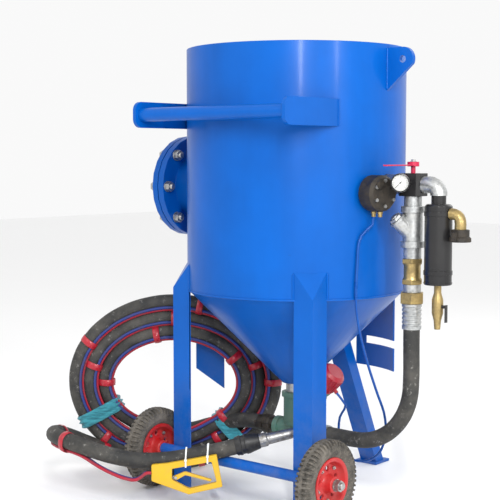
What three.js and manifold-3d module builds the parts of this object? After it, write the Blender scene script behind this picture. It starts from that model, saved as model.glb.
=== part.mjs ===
// Portable abrasive blasting pot on two wheels: a pressure tank with a 45 degree cone,
// a metering valve under it, its air piping, a blast hose with nozzle, and a remote handle.
// Millimetres, +Z up. The model is built about the tank's upright axis, X along the wheel
// axle and -Y towards the push handle, then moved so that the origin lies on the floor
// under the middle of the machine.
import * as THREE from 'three';
import { mergeVertices } from 'three/addons/utils/BufferGeometryUtils.js';
import Module from 'manifold-3d';

const wasm = await Module();
wasm.setup();

// ---- Driving dimensions ----------------------------------------------------------------
const gap = 0.3; // between pieces that touch

// Tank
const tankDiameter = 700;
const barrelLength = 762;
const wall = 6;
const outletHeight = 340;
const outletDiameter = 84;
const outletBore = 48;
const outletPad = 14;
const headDrop = 68; // rim down to the edge of the top head
const headFlange = 22;
const headDepth = 80;
const headPlate = 6;
const portDiameter = 120;
const seatThickness = 10;
const seatLip = 8;
const popupTravel = 25;
const popupOverlap = 12; // pop-up valve beyond the seat's bore, each side
const popupSkirt = 10;
const popupStemDiameter = 44;
const popupStemLength = 110;

// Manway on the -X side
const manwayHeight = 972;
const manwayNeckDiameter = 219;
const manwayNeckWall = 8;
const manwayFlangeDiameter = 340;
const manwayFlangeThickness = 24;
const manwayCoverThickness = 22;
const manwayGasketThickness = 3;
const manwayProjection = 130; // tank side to the cover's outer face
const manwayBoltCircle = 295;
const manwayBoltDiameter = 20;
const manwayBoltCount = 8;

// Lifting lugs and push handle
const lugHoleDiameter = 22;
const lugNoseRadius = 36;
const lugReach = 55; // tank side to the hole
const lugThickness = 14;
const lugDrop = 48; // rim down to the hole
const handleHeight = 1201;
const handleProjection = 86; // tank side to the ears' ends
const earHeight = 80;
const earThickness = 12;
const earSpread = 586; // between the ears' middles
const handleBarDiameter = 42;
const handleBarInset = 31; // ears' ends to the bar's middle

// Legs
const angleWidth = 70;
const angleThickness = 7;
const frontLegClearance = 12; // legs' lower ends above the floor
const legCapTop = 80; // top of the sloping cap above the cone's joint
const legCapBottom = 6;
const rearLegWidth = 65;
const rearLegDepth = 42;
const rearLegPlate = 6;
const rearLegLean = THREE.MathUtils.degToRad(24.8);
const rearLegOffset = 25; // rear leg's middle towards +X
const rearFootProjection = 64; // tank side out to the foot's middle
const rearFootLength = 84;
const rearFootThickness = 8;
const skirtThickness = 5;
const skirtWindowHeight = 26;
const restThickness = 5;
const restWidth = 92;
const restWeld = 60; // height welded to the barrel

// Wheels and axle
const wheelDiameter = 256;
const tyreWidth = 55;
const tyreSection = 50;
const rimWall = 11;
const rimWidth = 46;
const hubDiameter = 48;
const hubLength = 68;
const wheelTuck = 5; // tank side in to the wheels' middles
const axleDiameter = 34;
const stubDiameter = 20;
const stubLength = 58; // beyond the wheel's middle
const rimHoleDiameter = 15;
const rimHoleCount = 5;

// Metering valve under the outlet
const nippleDiameter = 60;
const nippleLength = 30;
const meteringBodyDiameter = 76;
const meteringCollar = 88;
const meteringBodyHeight = 94;
const branchRise = 17; // branch axis above the body's lower face, where it meets the upright axis
const branchDiameter = 64;
const branchBore = 45;
const branchLength = 108;
const bonnetDiameter = 84;
const bonnetLength = 14;
const housingDiameter = 76;
const housingLength = 14;
const capDiameter = 80;
const capLength = 70;
const capWall = 5;
const plungerTravel = 20;
const stemDiameter = 16;
const plugDiameter = 40;
const teeHeight = 186;
const teeDiameter = 54;
const teeBore = 38;
const teeLength = 150;

// Air piping on the +X side
const columnStandoff = 92; // tank side to the piping column's middle
const inletHeight = 989; // pipe into the tank
const inletPipeDiameter = 60;
const inletPipeWall = 6;
const blockWidth = 76;
const blockDepth = 60;
const blockHeight = 68;
const strainerLength = 123;
const strainerDiameter = 60;
const strainerCollar = 72;
const strainerBranchDiameter = 46;
const strainerBranchLength = 66;
const checkValveLength = 77;
const checkValveDiameter = 57;
const nippleShort = 24;
const nippleMedium = 33;
const nippleTall = 30;
const hoseNutFlats = 66;
const hoseNutLength = 33;
const ferruleDiameter = 60;
const ferruleLength = 78;
const lowerFerruleLength = 62;
const airHoseDiameter = 50;
const airHoseBend = 200;
const leverLength = 150;
const leverWidth = 16;
const leverThickness = 4;
const leverRise = 20; // lever above the valve block
const separatorOffset = 89; // piping column to the separator's middle
const separatorDiameter = 82;
const separatorWall = 4;
const separatorTop = 933;
const separatorBottom = 695;
const separatorNeck = 44;
const elbowDiameter = 50;
const elbowBend = 27;
const drainNippleDiameter = 22;
const drainCockDiameter = 34;
const drainCockTop = 671;
const drainCockBottom = 562;
const gaugeDiameter = 54;
const gaugeDepth = 28;
const gaugeShift = 8; // column's middle to the gauge
const gaugeStandoff = 80; // column's middle forward to the gauge
const gaugeRise = 7;
const controlDrumDiameter = 108;
const controlDrumLength = 66;
const controlDrumHeight = 964;
const controlDrumAngle = THREE.MathUtils.degToRad(-13.5);
const pilotTubeDiameter = 8;

// Hoses that lie free
const blastHoseDiameter = 50;
const twinLineWidth = 20;
const coilWidth = 733;
const coilHeight = 604;
const coilBand = 152; // the turns, side by side
const coilDepth = 82;
const holderDiameter = 62;
const holderLength = 76;
const nozzleLength = 150;
const nozzleDiameter = 36;

// ---- Values worked out from them -------------------------------------------------------
const tankRadius = tankDiameter / 2;
const handleReach = tankRadius + handleProjection;
const rearFootReach = tankRadius + rearFootProjection;
const columnReach = tankRadius + columnStandoff;
const separatorReach = columnReach + separatorOffset;
const outletRadius = outletDiameter / 2;
const jointHeight = outletHeight + tankRadius - outletRadius; // a 45 degree cone
const rimHeight = jointHeight + barrelLength;
const wheelRadius = wheelDiameter / 2;
const SQRT2 = Math.SQRT2;

// ---- Materials -------------------------------------------------------------------------
function finish(color, roughness, metalness = 0) {
  return new THREE.MeshStandardMaterial({ color, roughness, metalness });
}
const blueEnamel = finish(0x0a78e6, 0.28);
const galvanised = finish(0xb4b6b5, 0.45, 0.9);
const brass = finish(0xa98f5a, 0.4, 0.9);
const steel = finish(0x8c8f92, 0.4, 0.9);
const blackEnamel = finish(0x161616, 0.35);
const oliveCasting = finish(0x2b2822, 0.6);
const greenCasting = finish(0x4d7468, 0.55);
const redPlastic = finish(0xa51224, 0.4);
const redEnamel = finish(0xb4202a, 0.4);
const leverRed = finish(0xc52a55, 0.45);
const tyreRubber = finish(0x5d5348, 0.9);
const hoseRubber = finish(0x35322f, 0.85);
const sealRubber = finish(0x1c1c1c, 0.8);
const yellowEnamel = finish(0xf0c419, 0.4);
const blueTube = finish(0x155fbe, 0.35);
const twinJacket = finish(0x7a2346, 0.5);

// ---- Solids ----------------------------------------------------------------------------
function solid(geometry) {
  const bare = geometry.clone();
  bare.deleteAttribute('normal');
  bare.deleteAttribute('uv');
  const merged = mergeVertices(bare, 1e-4);
  return new wasm.Manifold(new wasm.Mesh({
    numProp: 3,
    vertProperties: new Float32Array(merged.attributes.position.array),
    triVerts: new Uint32Array(merged.index.array),
  }));
}

function geometryOf(manifold) {
  const mesh = manifold.getMesh();
  const geometry = new THREE.BufferGeometry();
  geometry.setAttribute('position', new THREE.BufferAttribute(new Float32Array(mesh.vertProperties), 3));
  geometry.setIndex(new THREE.BufferAttribute(new Uint32Array(mesh.triVerts), 1));
  geometry.computeVertexNormals();
  return geometry;
}

function join(...geometries) {
  const whole = geometries.map(solid).reduce((sum, next) => sum.add(next));
  return geometryOf(whole);
}

function cut(geometry, ...tools) {
  const left = tools.map(solid).reduce((sum, next) => sum.subtract(next), solid(geometry));
  return geometryOf(left);
}

function keep(geometry, tool) {
  return geometryOf(solid(geometry).intersect(solid(tool)));
}

// Turned about Z from [radius, height] pairs, anticlockwise: out along the bottom, then up.
function turned(profile, sides = 20) {
  const points = profile.map(([radius, height]) => new THREE.Vector2(radius, height));
  return new THREE.LatheGeometry(points, sides).rotateX(Math.PI / 2);
}

function rod(radius, from, to, sides = 16) {
  return turned([[0, from], [radius, from], [radius, to], [0, to]], sides);
}

function ring(outer, inner, from, to, sides = 16) {
  return turned([[inner, from], [outer, from], [outer, to], [inner, to], [inner, from]], sides);
}

function block(width, depth, height, x = 0, y = 0, z = 0) {
  return new THREE.BoxGeometry(width, depth, height).translate(x, y, z);
}

function extruded(shape, thickness) {
  return new THREE.ExtrudeGeometry(shape, { depth: thickness, bevelEnabled: false, curveSegments: 8 });
}

function polygon(points) {
  return new THREE.Shape(points.map(([x, y]) => new THREE.Vector2(x, y)));
}

function hexagon(flats, height, bore = 0) {
  const radius = flats / Math.sqrt(3);
  const corners = Array.from({ length: 6 }, (_, i) => {
    const angle = (i * Math.PI) / 3;
    return [radius * Math.cos(angle), radius * Math.sin(angle)];
  });
  const shape = polygon(corners);
  if (bore > 0) shape.holes.push(new THREE.Path().absarc(0, 0, bore / 2, 0, 2 * Math.PI, true));
  return extruded(shape, height);
}

// Turns a solid built along +Z to point along a direction, and puts its origin at a place.
function along(geometry, direction, place = [0, 0, 0]) {
  const turn = new THREE.Quaternion().setFromUnitVectors(
    new THREE.Vector3(0, 0, 1),
    new THREE.Vector3(...direction).normalize(),
  );
  return geometry.clone().applyQuaternion(turn).translate(...place);
}

// A solid of round section along a smooth curve through points.
function tubeThrough(points, diameter, sides, spacing) {
  const curve = new THREE.CatmullRomCurve3(points.map((p) => new THREE.Vector3(...p)), false, 'centripetal');
  const section = polygon(Array.from({ length: sides }, (_, i) => {
    const angle = (2 * Math.PI * i) / sides;
    return [(diameter / 2) * Math.cos(angle), (diameter / 2) * Math.sin(angle)];
  }));
  const steps = Math.min(80, Math.ceil(curve.getLength() / spacing));
  return new THREE.ExtrudeGeometry(section, { steps, extrudePath: curve, bevelEnabled: false });
}

// ---- Assembly --------------------------------------------------------------------------
const machine = new THREE.Group();

function add(name, geometry, material) {
  const mesh = new THREE.Mesh(geometry, material);
  mesh.name = name;
  machine.add(mesh);
  return mesh;
}

// ---- Tank shell: barrel and cone in one, with holes for the manway neck and inlet pipe ---
const slant = wall * SQRT2;
const shellSides = 48;
const neckRadius = manwayNeckDiameter / 2;
const neckSides = 24;
const inletPipeRadius = inletPipeDiameter / 2;
const shellTurned = turned([
  [outletBore / 2, outletHeight],
  [outletRadius, outletHeight],
  [tankRadius, jointHeight],
  [tankRadius, rimHeight],
  [tankRadius - wall, rimHeight],
  [tankRadius - wall, jointHeight + slant - wall],
  [outletRadius + outletPad - slant, outletHeight + outletPad],
  [outletBore / 2, outletHeight + outletPad],
  [outletBore / 2, outletHeight],
], shellSides);
const neckHole = along(rod(neckRadius + gap, 0, tankRadius + wall, neckSides), [-1, 0, 0], [0, 0, manwayHeight]);
const inletHole = along(rod(inletPipeRadius + gap, 0, tankRadius + wall), [1, 0, 0], [0, 0, inletHeight]);
add('tank_shell', cut(shellTurned, neckHole, inletHole), blueEnamel);

// The space that the tank fills, grown by the gap: pieces welded to its outside are cut to it.
const tankSpace = turned([
  [0, outletHeight - gap],
  [outletRadius + gap * SQRT2, outletHeight - gap],
  [tankRadius + gap, jointHeight - gap * (SQRT2 - 1)],
  [tankRadius + gap, rimHeight + wall],
  [0, rimHeight + wall],
], shellSides);

// ---- Top head: a dished plate let into the barrel, whose hollow is the filling hopper ----
const headEdge = rimHeight - headDrop;
const headRadius = tankRadius - wall - gap;
const portRadius = portDiameter / 2;
const headPort = headEdge - headDepth; // upper face at the port
const dishSteps = 4;
function dish(radius) {
  const share = (radius - portRadius) / (headRadius - headPlate - portRadius);
  return headPort + headDepth * share * share;
}
const dishUpper = Array.from({ length: dishSteps }, (_, i) => {
  const radius = portRadius + ((headRadius - headPlate - portRadius) * i) / (dishSteps - 1);
  return [radius, dish(radius)];
});
const dishLower = dishUpper.map(([radius, height]) => [radius, height - headPlate]);
dishLower[dishSteps - 1] = [headRadius, headEdge - headPlate];
add('top_head', turned([
  ...dishLower,
  [headRadius, headEdge + headFlange],
  [headRadius - headPlate, headEdge + headFlange],
  ...dishUpper.reverse(),
  dishLower[0],
], shellSides), blueEnamel);

// ---- Seat ring: rubber, clipped into the port from below -------------------------------
const portUnder = headPort - headPlate;
const seatBore = portRadius - seatThickness;
const seatUnder = portUnder - seatLip;
add('seat_ring', turned([
  [seatBore, seatUnder],
  [portRadius + seatLip, seatUnder],
  [portRadius + seatLip, portUnder - gap],
  [portRadius - gap, portUnder - gap],
  [portRadius - gap, headPort + 3],
  [seatBore, headPort + 3],
  [seatBore, seatUnder],
]), sealRubber);

// ---- Pop-up valve: rests on the inlet pipe, and air lifts it against the seat -----------
const popupRadius = seatBore + popupOverlap;
const popupApex = seatUnder + seatBore - gap - popupTravel;
const popupUnder = popupApex - popupRadius - popupSkirt;
add('popup_valve', turned([
  [0, popupUnder - popupStemLength],
  [popupStemDiameter / 2, popupUnder - popupStemLength],
  [popupStemDiameter / 2, popupUnder],
  [popupRadius, popupUnder],
  [popupRadius, popupUnder + popupSkirt],
  [0, popupApex],
]), brass);

// ---- Inlet pipe: through the tank's side, mitred, then up to carry the pop-up valve ------
const blockLeft = columnReach - blockWidth / 2;
function mitred(radius) {
  const upright = rod(radius, inletHeight - radius, popupUnder - gap);
  const level = along(rod(radius, -radius, blockLeft - gap), [1, 0, 0], [0, 0, inletHeight]);
  const reach = 4 * tankRadius;
  const corner = new THREE.BoxGeometry(reach, reach, reach).translate(reach / 2, 0, 0);
  const below = corner.clone().rotateY(Math.PI / 4).translate(0, 0, inletHeight);
  const overlapping = below.clone().translate(-gap, 0, 0);
  return geometryOf(solid(upright).subtract(solid(below)).add(solid(level).intersect(solid(overlapping))));
}
add('inlet_pipe', cut(
  mitred(inletPipeRadius),
  rod(inletPipeRadius - inletPipeWall, inletHeight, popupApex),
  along(rod(inletPipeRadius - inletPipeWall, 0, columnReach), [1, 0, 0], [0, 0, inletHeight]),
), steel);

// ---- Manway: neck with flange, gasket and blind cover, along -X --------------------------
const coverOuter = tankRadius + manwayProjection;
const coverInner = coverOuter - manwayCoverThickness;
const gasketInner = coverInner - gap - manwayGasketThickness;
const flangeOuter = gasketInner - gap;
const flangeInner = flangeOuter - manwayFlangeThickness;
const neckBore = neckRadius - manwayNeckWall;
const neckStart = tankRadius - 5 * wall;
const flangeRadius = manwayFlangeDiameter / 2;
const boltHoleRadius = manwayBoltDiameter / 2 + 1;
function aroundBoltCircle(make) {
  return Array.from({ length: manwayBoltCount }, (_, i) => {
    const angle = (2 * Math.PI * i) / manwayBoltCount;
    const radius = manwayBoltCircle / 2;
    return make().translate(radius * Math.cos(angle), radius * Math.sin(angle), 0);
  });
}
function onManway(geometry) {
  return along(geometry, [-1, 0, 0], [0, 0, manwayHeight]);
}
const boltHoles = aroundBoltCircle(() => rod(boltHoleRadius, flangeInner - 1, coverOuter + 1, 8));
add('manway_neck', onManway(cut(turned([
  [neckBore, neckStart],
  [neckRadius, neckStart],
  [neckRadius, flangeInner],
  [flangeRadius, flangeInner],
  [flangeRadius, flangeOuter],
  [neckBore, flangeOuter],
  [neckBore, neckStart],
], neckSides), ...boltHoles)), blueEnamel);
const gasketRadius = manwayBoltCircle / 2 - boltHoleRadius - 2;
add('manway_gasket', onManway(
  ring(gasketRadius, neckBore, gasketInner, gasketInner + manwayGasketThickness, neckSides),
), sealRubber);
add('manway_cover', onManway(cut(rod(flangeRadius, coverInner, coverOuter, neckSides), ...boltHoles)), blueEnamel);

// ---- Lifting lugs on the +X and -X sides -----------------------------------------------
const lugHoleReach = tankRadius + lugReach;
const lugHoleHeight = rimHeight - lugDrop;
function lug() {
  const shape = new THREE.Shape();
  shape.moveTo(tankRadius - wall, lugHoleHeight - 2.7 * lugNoseRadius);
  shape.lineTo(lugHoleReach + lugNoseRadius * 0.9, lugHoleHeight - lugNoseRadius * 0.43);
  shape.absarc(lugHoleReach, lugHoleHeight, lugNoseRadius, -0.45, Math.PI / 2, false);
  shape.lineTo(tankRadius - wall, lugHoleHeight + lugNoseRadius);
  shape.holes.push(new THREE.Path().absarc(
    lugHoleReach, lugHoleHeight, lugHoleDiameter / 2, 0, 2 * Math.PI, true,
  ));
  const plate = extruded(shape, lugThickness).translate(0, 0, -lugThickness / 2).rotateX(Math.PI / 2);
  return cut(plate, tankSpace);
}
add('lifting_lug_right', lug(), blueEnamel);
add('lifting_lug_left', lug().rotateZ(Math.PI), blueEnamel);

// ---- Push handle: two flat ears welded to a round bar -------------------------------------
function ear(side) {
  const start = -Math.sqrt(tankRadius ** 2 - (earSpread / 2) ** 2) + earThickness;
  const corner = earHeight / 3;
  const shape = new THREE.Shape();
  shape.moveTo(start, -earHeight / 2);
  shape.lineTo(start, earHeight / 2);
  shape.lineTo(-handleReach + corner, earHeight / 2);
  shape.absarc(-handleReach + corner, earHeight / 2 - corner, corner, Math.PI / 2, Math.PI, false);
  shape.lineTo(-handleReach, -earHeight / 2 + corner);
  shape.absarc(-handleReach + corner, -earHeight / 2 + corner, corner, Math.PI, 1.5 * Math.PI, false);
  const plate = extruded(shape, earThickness).translate(0, 0, -earThickness / 2);
  plate.applyMatrix4(new THREE.Matrix4().makeBasis(
    new THREE.Vector3(0, 1, 0), new THREE.Vector3(0, 0, 1), new THREE.Vector3(1, 0, 0),
  ));
  return cut(plate.translate((side * earSpread) / 2, 0, handleHeight), tankSpace);
}
const barReach = -handleReach + handleBarInset;
add('push_handle', join(ear(-1), ear(1), along(
  rod(handleBarDiameter / 2, -earSpread / 2, earSpread / 2, 20), [1, 0, 0], [0, barReach, handleHeight],
)), blueEnamel);

// ---- Front legs: angle iron with a sloping cap, its edges coped to the tank --------------
const legInner = tankRadius + gap;
const widthLeft = angleWidth - angleThickness;
const legCorner = (angleWidth + angleThickness + Math.sqrt(2 * legInner ** 2 - widthLeft ** 2)) / 2 - 4;
const capAcross = legCorner * SQRT2 - tankRadius;
const capSlope = Math.atan2(legCapTop - legCapBottom, capAcross);
function frontLeg() {
  const top = jointHeight + legCapTop + angleWidth;
  const section = polygon([
    [legCorner, -legCorner],
    [legCorner, -legCorner + angleWidth],
    [legCorner - angleThickness, -legCorner + angleWidth],
    [legCorner - angleThickness, -legCorner + angleThickness],
    [legCorner - angleWidth, -legCorner + angleThickness],
    [legCorner - angleWidth, -legCorner],
  ]);
  const angle = extruded(section, top - frontLegClearance).translate(0, 0, frontLegClearance);
  const corner = polygon([
    [legCorner, -legCorner],
    [legCorner, -legCorner + angleWidth],
    [legCorner - angleWidth, -legCorner],
  ]);
  const filled = extruded(corner, top - jointHeight + angleWidth).translate(0, 0, jointHeight - angleWidth);
  const reach = 2 * tankRadius;
  function halfSpace(lower) {
    // Above a plane that falls outwards from the tank's side to the angle's corner.
    return new THREE.BoxGeometry(reach, reach, reach)
      .translate(0, 0, reach / 2 - lower)
      .rotateY(capSlope)
      .translate(tankRadius, 0, jointHeight + legCapTop)
      .rotateZ(-Math.PI / 4);
  }
  const above = solid(halfSpace(0));
  const slab = solid(halfSpace(angleThickness)).subtract(above);
  const leg = solid(angle).subtract(above).add(solid(filled).intersect(slab));
  return geometryOf(leg.subtract(solid(tankSpace)));
}
add('front_leg_right', frontLeg(), blueEnamel);
add('front_leg_left', frontLeg().rotateZ(-Math.PI / 2), blueEnamel);

// ---- Rear leg: a leaning angle with its foot plate ---------------------------------------
function rearLeg() {
  const long = (outletHeight + tankRadius) / Math.cos(rearLegLean);
  const half = rearLegWidth / 2;
  const section = polygon([
    [-half, 0],
    [half, 0],
    [half, rearLegDepth],
    [half - rearLegPlate, rearLegDepth],
    [half - rearLegPlate, rearLegPlate],
    [-half, rearLegPlate],
  ]);
  const bar = extruded(section, long)
    .translate(0, -rearLegDepth / 2, -rearLegWidth)
    .rotateX(rearLegLean)
    .translate(rearLegOffset, rearFootReach, 0);
  const floor = block(4 * tankRadius, 4 * tankRadius, tankRadius, 0, 0, rearFootThickness - 1 - tankRadius / 2);
  const foot = block(
    rearFootLength, rearFootLength, rearFootThickness, rearLegOffset, rearFootReach, rearFootThickness / 2,
  );
  return join(cut(bar, floor, tankSpace), foot);
}
add('rear_leg', rearLeg(), blueEnamel);

// ---- Skirt plate: a curved plate that carries the barrel's line on below the joint -------
function skirtPlate(fromDegrees, toDegrees, bottom) {
  const from = THREE.MathUtils.degToRad(fromDegrees);
  const to = THREE.MathUtils.degToRad(toDegrees);
  const shape = new THREE.Shape();
  shape.absarc(0, 0, tankRadius, from, to, false);
  shape.absarc(0, 0, tankRadius - skirtThickness, to, from, true);
  const top = jointHeight - skirtThickness - 2 * gap;
  return extruded(shape, top - bottom).translate(0, 0, bottom);
}
const skirtRearBottom = outletHeight + 15;
const windowBox = block(tankRadius, tankRadius, skirtWindowHeight, 0.62 * tankRadius, tankRadius,
  skirtRearBottom + 90);
const windowPart = keep(windowBox, rod(2 * tankRadius, 0, rimHeight));
add('skirt_plate_rear', cut(skirtPlate(57, 90, skirtRearBottom), windowPart), blueEnamel);

// ---- Axle, wheels and axle nuts ----------------------------------------------------------
const axleReach = -(legCorner + axleDiameter / 2 + gap);
const wheelMiddle = tankRadius - wheelTuck;
const shoulder = wheelMiddle - hubLength / 2 - gap;
const axleEnd = wheelMiddle + stubLength;
function onAxle(geometry) {
  return along(geometry, [1, 0, 0], [0, axleReach, wheelRadius]);
}
add('axle', onAxle(turned([
  [0, -axleEnd],
  [stubDiameter / 2, -axleEnd],
  [stubDiameter / 2, -shoulder],
  [axleDiameter / 2, -shoulder],
  [axleDiameter / 2, shoulder],
  [stubDiameter / 2, shoulder],
  [stubDiameter / 2, axleEnd],
  [0, axleEnd],
], 16)), blueEnamel);
const nutStart = wheelMiddle + hubLength / 2 + gap;
const axleNutOuter = ring(stubDiameter * 0.9, stubDiameter / 2 + gap, nutStart, nutStart + 4, 16);
const axleNut = join(
  axleNutOuter,
  hexagon(stubDiameter * 1.5, stubDiameter * 0.8, stubDiameter + 2 * gap).translate(0, 0, nutStart + 3),
);
add('axle_nut_right', onAxle(axleNut), steel);
add('axle_nut_left', onAxle(axleNut.clone().rotateX(Math.PI)), steel);

const tyreInner = wheelRadius - tyreSection;
const rimOuter = tyreInner - gap;
const rimInner = rimOuter - rimWall;
const tyreHalf = tyreWidth / 2;
const rimHalf = rimWidth / 2;
const discHalf = 3;
function tyre() {
  const shoulderRadius = wheelRadius - tyreSection * 0.16;
  return turned([
    [tyreInner, -tyreHalf * 0.72],
    [wheelRadius - tyreSection * 0.6, -tyreHalf],
    [shoulderRadius, -tyreHalf * 0.86],
    [wheelRadius, -tyreHalf * 0.5],
    [wheelRadius, tyreHalf * 0.5],
    [shoulderRadius, tyreHalf * 0.86],
    [wheelRadius - tyreSection * 0.6, tyreHalf],
    [tyreInner, tyreHalf * 0.72],
    [tyreInner, -tyreHalf * 0.72],
  ], 32);
}
function rim() {
  const bore = stubDiameter / 2 + gap;
  const hub = hubDiameter / 2;
  const disc = turned([
    [bore, -hubLength / 2],
    [hub, -hubLength / 2],
    [hub, -discHalf],
    [rimInner, -discHalf],
    [rimInner, -rimHalf],
    [rimOuter, -rimHalf],
    [rimOuter, rimHalf],
    [rimInner, rimHalf],
    [rimInner, discHalf],
    [hub, discHalf],
    [hub, hubLength / 2],
    [bore, hubLength / 2],
    [bore, -hubLength / 2],
  ], 16);
  const holeCircle = (hub + rimInner) / 2;
  const holes = Array.from({ length: rimHoleCount }, (_, i) => {
    const angle = (2 * Math.PI * i) / rimHoleCount;
    return rod(rimHoleDiameter / 2, -hubLength, hubLength, 8)
      .translate(holeCircle * Math.cos(angle), holeCircle * Math.sin(angle), 0);
  });
  return cut(disc, ...holes);
}
for (const [side, name] of [[-1, 'left'], [1, 'right']]) {
  const place = [side * wheelMiddle, axleReach, wheelRadius];
  add(`wheel_tyre_${name}`, along(tyre(), [1, 0, 0], place), tyreRubber);
  add(`wheel_rim_${name}`, along(rim(), [1, 0, 0], place), redEnamel);
}

// ---- Metering valve: body, bonnet with the actuator's housing, cap and plunger -----------
const bodyTop = outletHeight - gap - nippleLength - gap;
const bodyBottom = bodyTop - meteringBodyHeight;
const branchStart = bodyBottom + branchRise;
const branchAxis = [Math.SQRT1_2, 0, Math.SQRT1_2];
function onBranch(geometry) {
  return along(geometry, branchAxis, [0, 0, branchStart]);
}
const nippleBore = outletBore;
add('outlet_nipple', ring(nippleDiameter / 2, nippleBore / 2, bodyTop + gap, bodyTop + gap + nippleLength),
  galvanised);
const meteringBody = cut(
  join(
    rod(meteringBodyDiameter / 2, bodyBottom, bodyTop),
    ring(meteringCollar / 2, meteringBodyDiameter / 2 - 2, bodyTop - 16, bodyTop),
    onBranch(rod(branchDiameter / 2, 0, branchLength)),
    onBranch(rod(bonnetDiameter / 2, branchLength - 10, branchLength)),
  ),
  rod(nippleBore / 2, bodyBottom - 1, bodyTop + 1),
  onBranch(rod(branchBore / 2, 0, branchLength + 1)),
  block(3 * meteringBodyDiameter, meteringBodyDiameter, 60, 0, 0, bodyBottom - 30),
);
add('metering_body', meteringBody, greenCasting);
const bonnetStart = branchLength + gap;
const housingStart = bonnetStart + bonnetLength + 22;
const capStart = housingStart + housingLength + gap;
const capEnd = capStart + capLength;
const stemBore = stemDiameter / 2 + gap;
add('metering_bonnet', onBranch(join(
  ring(bonnetDiameter / 2, stemBore, bonnetStart, bonnetStart + bonnetLength),
  ring(housingDiameter / 2 - 8, stemBore, bonnetStart + bonnetLength - 1, housingStart + 1),
  ring(housingDiameter / 2, stemBore, housingStart, housingStart + housingLength),
)), greenCasting);
const capRadius = capDiameter / 2;
const cupRadius = capRadius - capWall;
const capPort = capStart + 24;
const portLength = 14;
add('actuator_cap', onBranch(join(turned([
  [cupRadius, capStart],
  [capRadius, capStart],
  [capRadius, capEnd - capWall * 2],
  [capRadius - capWall * 2, capEnd],
  [0, capEnd],
  [0, capEnd - capWall],
  [cupRadius, capEnd - capWall],
  [cupRadius, capStart],
]), along(rod(6.5, capRadius - capWall / 2, capRadius + portLength, 10), [1, 0, 0], [0, 0, capPort]))), redPlastic);
const pistonStart = capStart + 1;
const pistonThickness = 10;
const plugStart = 20;
const plugLength = 34;
add('metering_plunger', onBranch(turned([
  [0, plugStart],
  [plugDiameter / 2, plugStart],
  [plugDiameter / 2, plugStart + plugLength],
  [stemDiameter / 2, plugStart + plugLength],
  [stemDiameter / 2, pistonStart],
  [cupRadius - 1, pistonStart],
  [cupRadius - 1, pistonStart + pistonThickness],
  [0, pistonStart + pistonThickness],
], 16)), steel);

// ---- Mixing tee: air in from +X, air and abrasive out to -X -------------------------------
const teeTop = bodyBottom - gap;
const teeHalf = teeLength / 2;
const tee = cut(
  join(
    along(rod(teeDiameter / 2, -teeHalf, teeHalf), [1, 0, 0], [0, 0, teeHeight]),
    turned([
      [0, teeHeight],
      [nippleDiameter / 2, teeHeight],
      [nippleDiameter / 2, teeTop - 14],
      [meteringBodyDiameter / 2, teeTop - 14],
      [meteringBodyDiameter / 2, teeTop],
      [0, teeTop],
    ]),
    along(rod(teeDiameter / 2 + 6, teeHalf - 18, teeHalf), [1, 0, 0], [0, 0, teeHeight]),
    along(rod(teeDiameter / 2 + 6, teeHalf - 18, teeHalf), [-1, 0, 0], [0, 0, teeHeight]),
  ),
  along(rod(teeBore / 2, -teeHalf - 1, teeHalf + 1), [1, 0, 0], [0, 0, teeHeight]),
  rod(teeBore / 2, teeHeight, teeTop + 1),
);
add('mixing_tee', tee, greenCasting);

// ---- Claw couplings: one pair joins the blast hose to the tee, one half waits for air ------
function clawHalf() {
  const body = turned([
    [teeBore / 2, 0],
    [teeDiameter / 2 + 5, 0],
    [teeDiameter / 2 + 5, 12],
    [teeDiameter / 2, 16],
    [teeDiameter / 2, 36],
    [teeBore / 2, 36],
    [teeBore / 2, 0],
  ], 16);
  const claws = [-1, 1].map((side) => block(16, 9, 26, 0, side * (teeDiameter / 2 + 7), 16));
  return join(body, ...claws);
}
const clawLength = 36;
const clawStart = -(teeHalf + gap);
const clawJoint = clawStart - clawLength;
add('outlet_coupling', along(clawHalf(), [1, 0, 0], [clawJoint, 0, teeHeight]), oliveCasting);
add('hose_coupling', along(clawHalf(), [-1, 0, 0], [clawJoint - gap, 0, teeHeight]), oliveCasting);
const hoseStart = clawJoint - gap - clawLength - gap;

// ---- Piping column: valve block, strainer with its nipples, check valve, nut, air hose -------
function onColumn(geometry) {
  return geometry.translate(columnReach, 0, 0);
}
const blockBottom = inletHeight - blockHeight / 2;
const blockTop = inletHeight + blockHeight / 2;
const pipeBore = inletPipeDiameter / 2 - inletPipeWall - 4;
const nippleOuter = inletPipeDiameter / 2 - 3;
const levelTop = blockBottom - gap;
const strainerTop = levelTop - nippleTall - gap;
const strainerBottom = strainerTop - strainerLength;
const checkTop = strainerBottom - gap - nippleMedium - gap;
const checkBottom = checkTop - checkValveLength;
const nutTop = checkBottom - gap - nippleShort - gap;
const nutBottom = nutTop - hoseNutLength;
const ferruleTop = nutBottom - gap;
add('hose_nipple', onColumn(ring(nippleOuter, pipeBore, nutTop + gap, checkBottom - gap)), galvanised);

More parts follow.
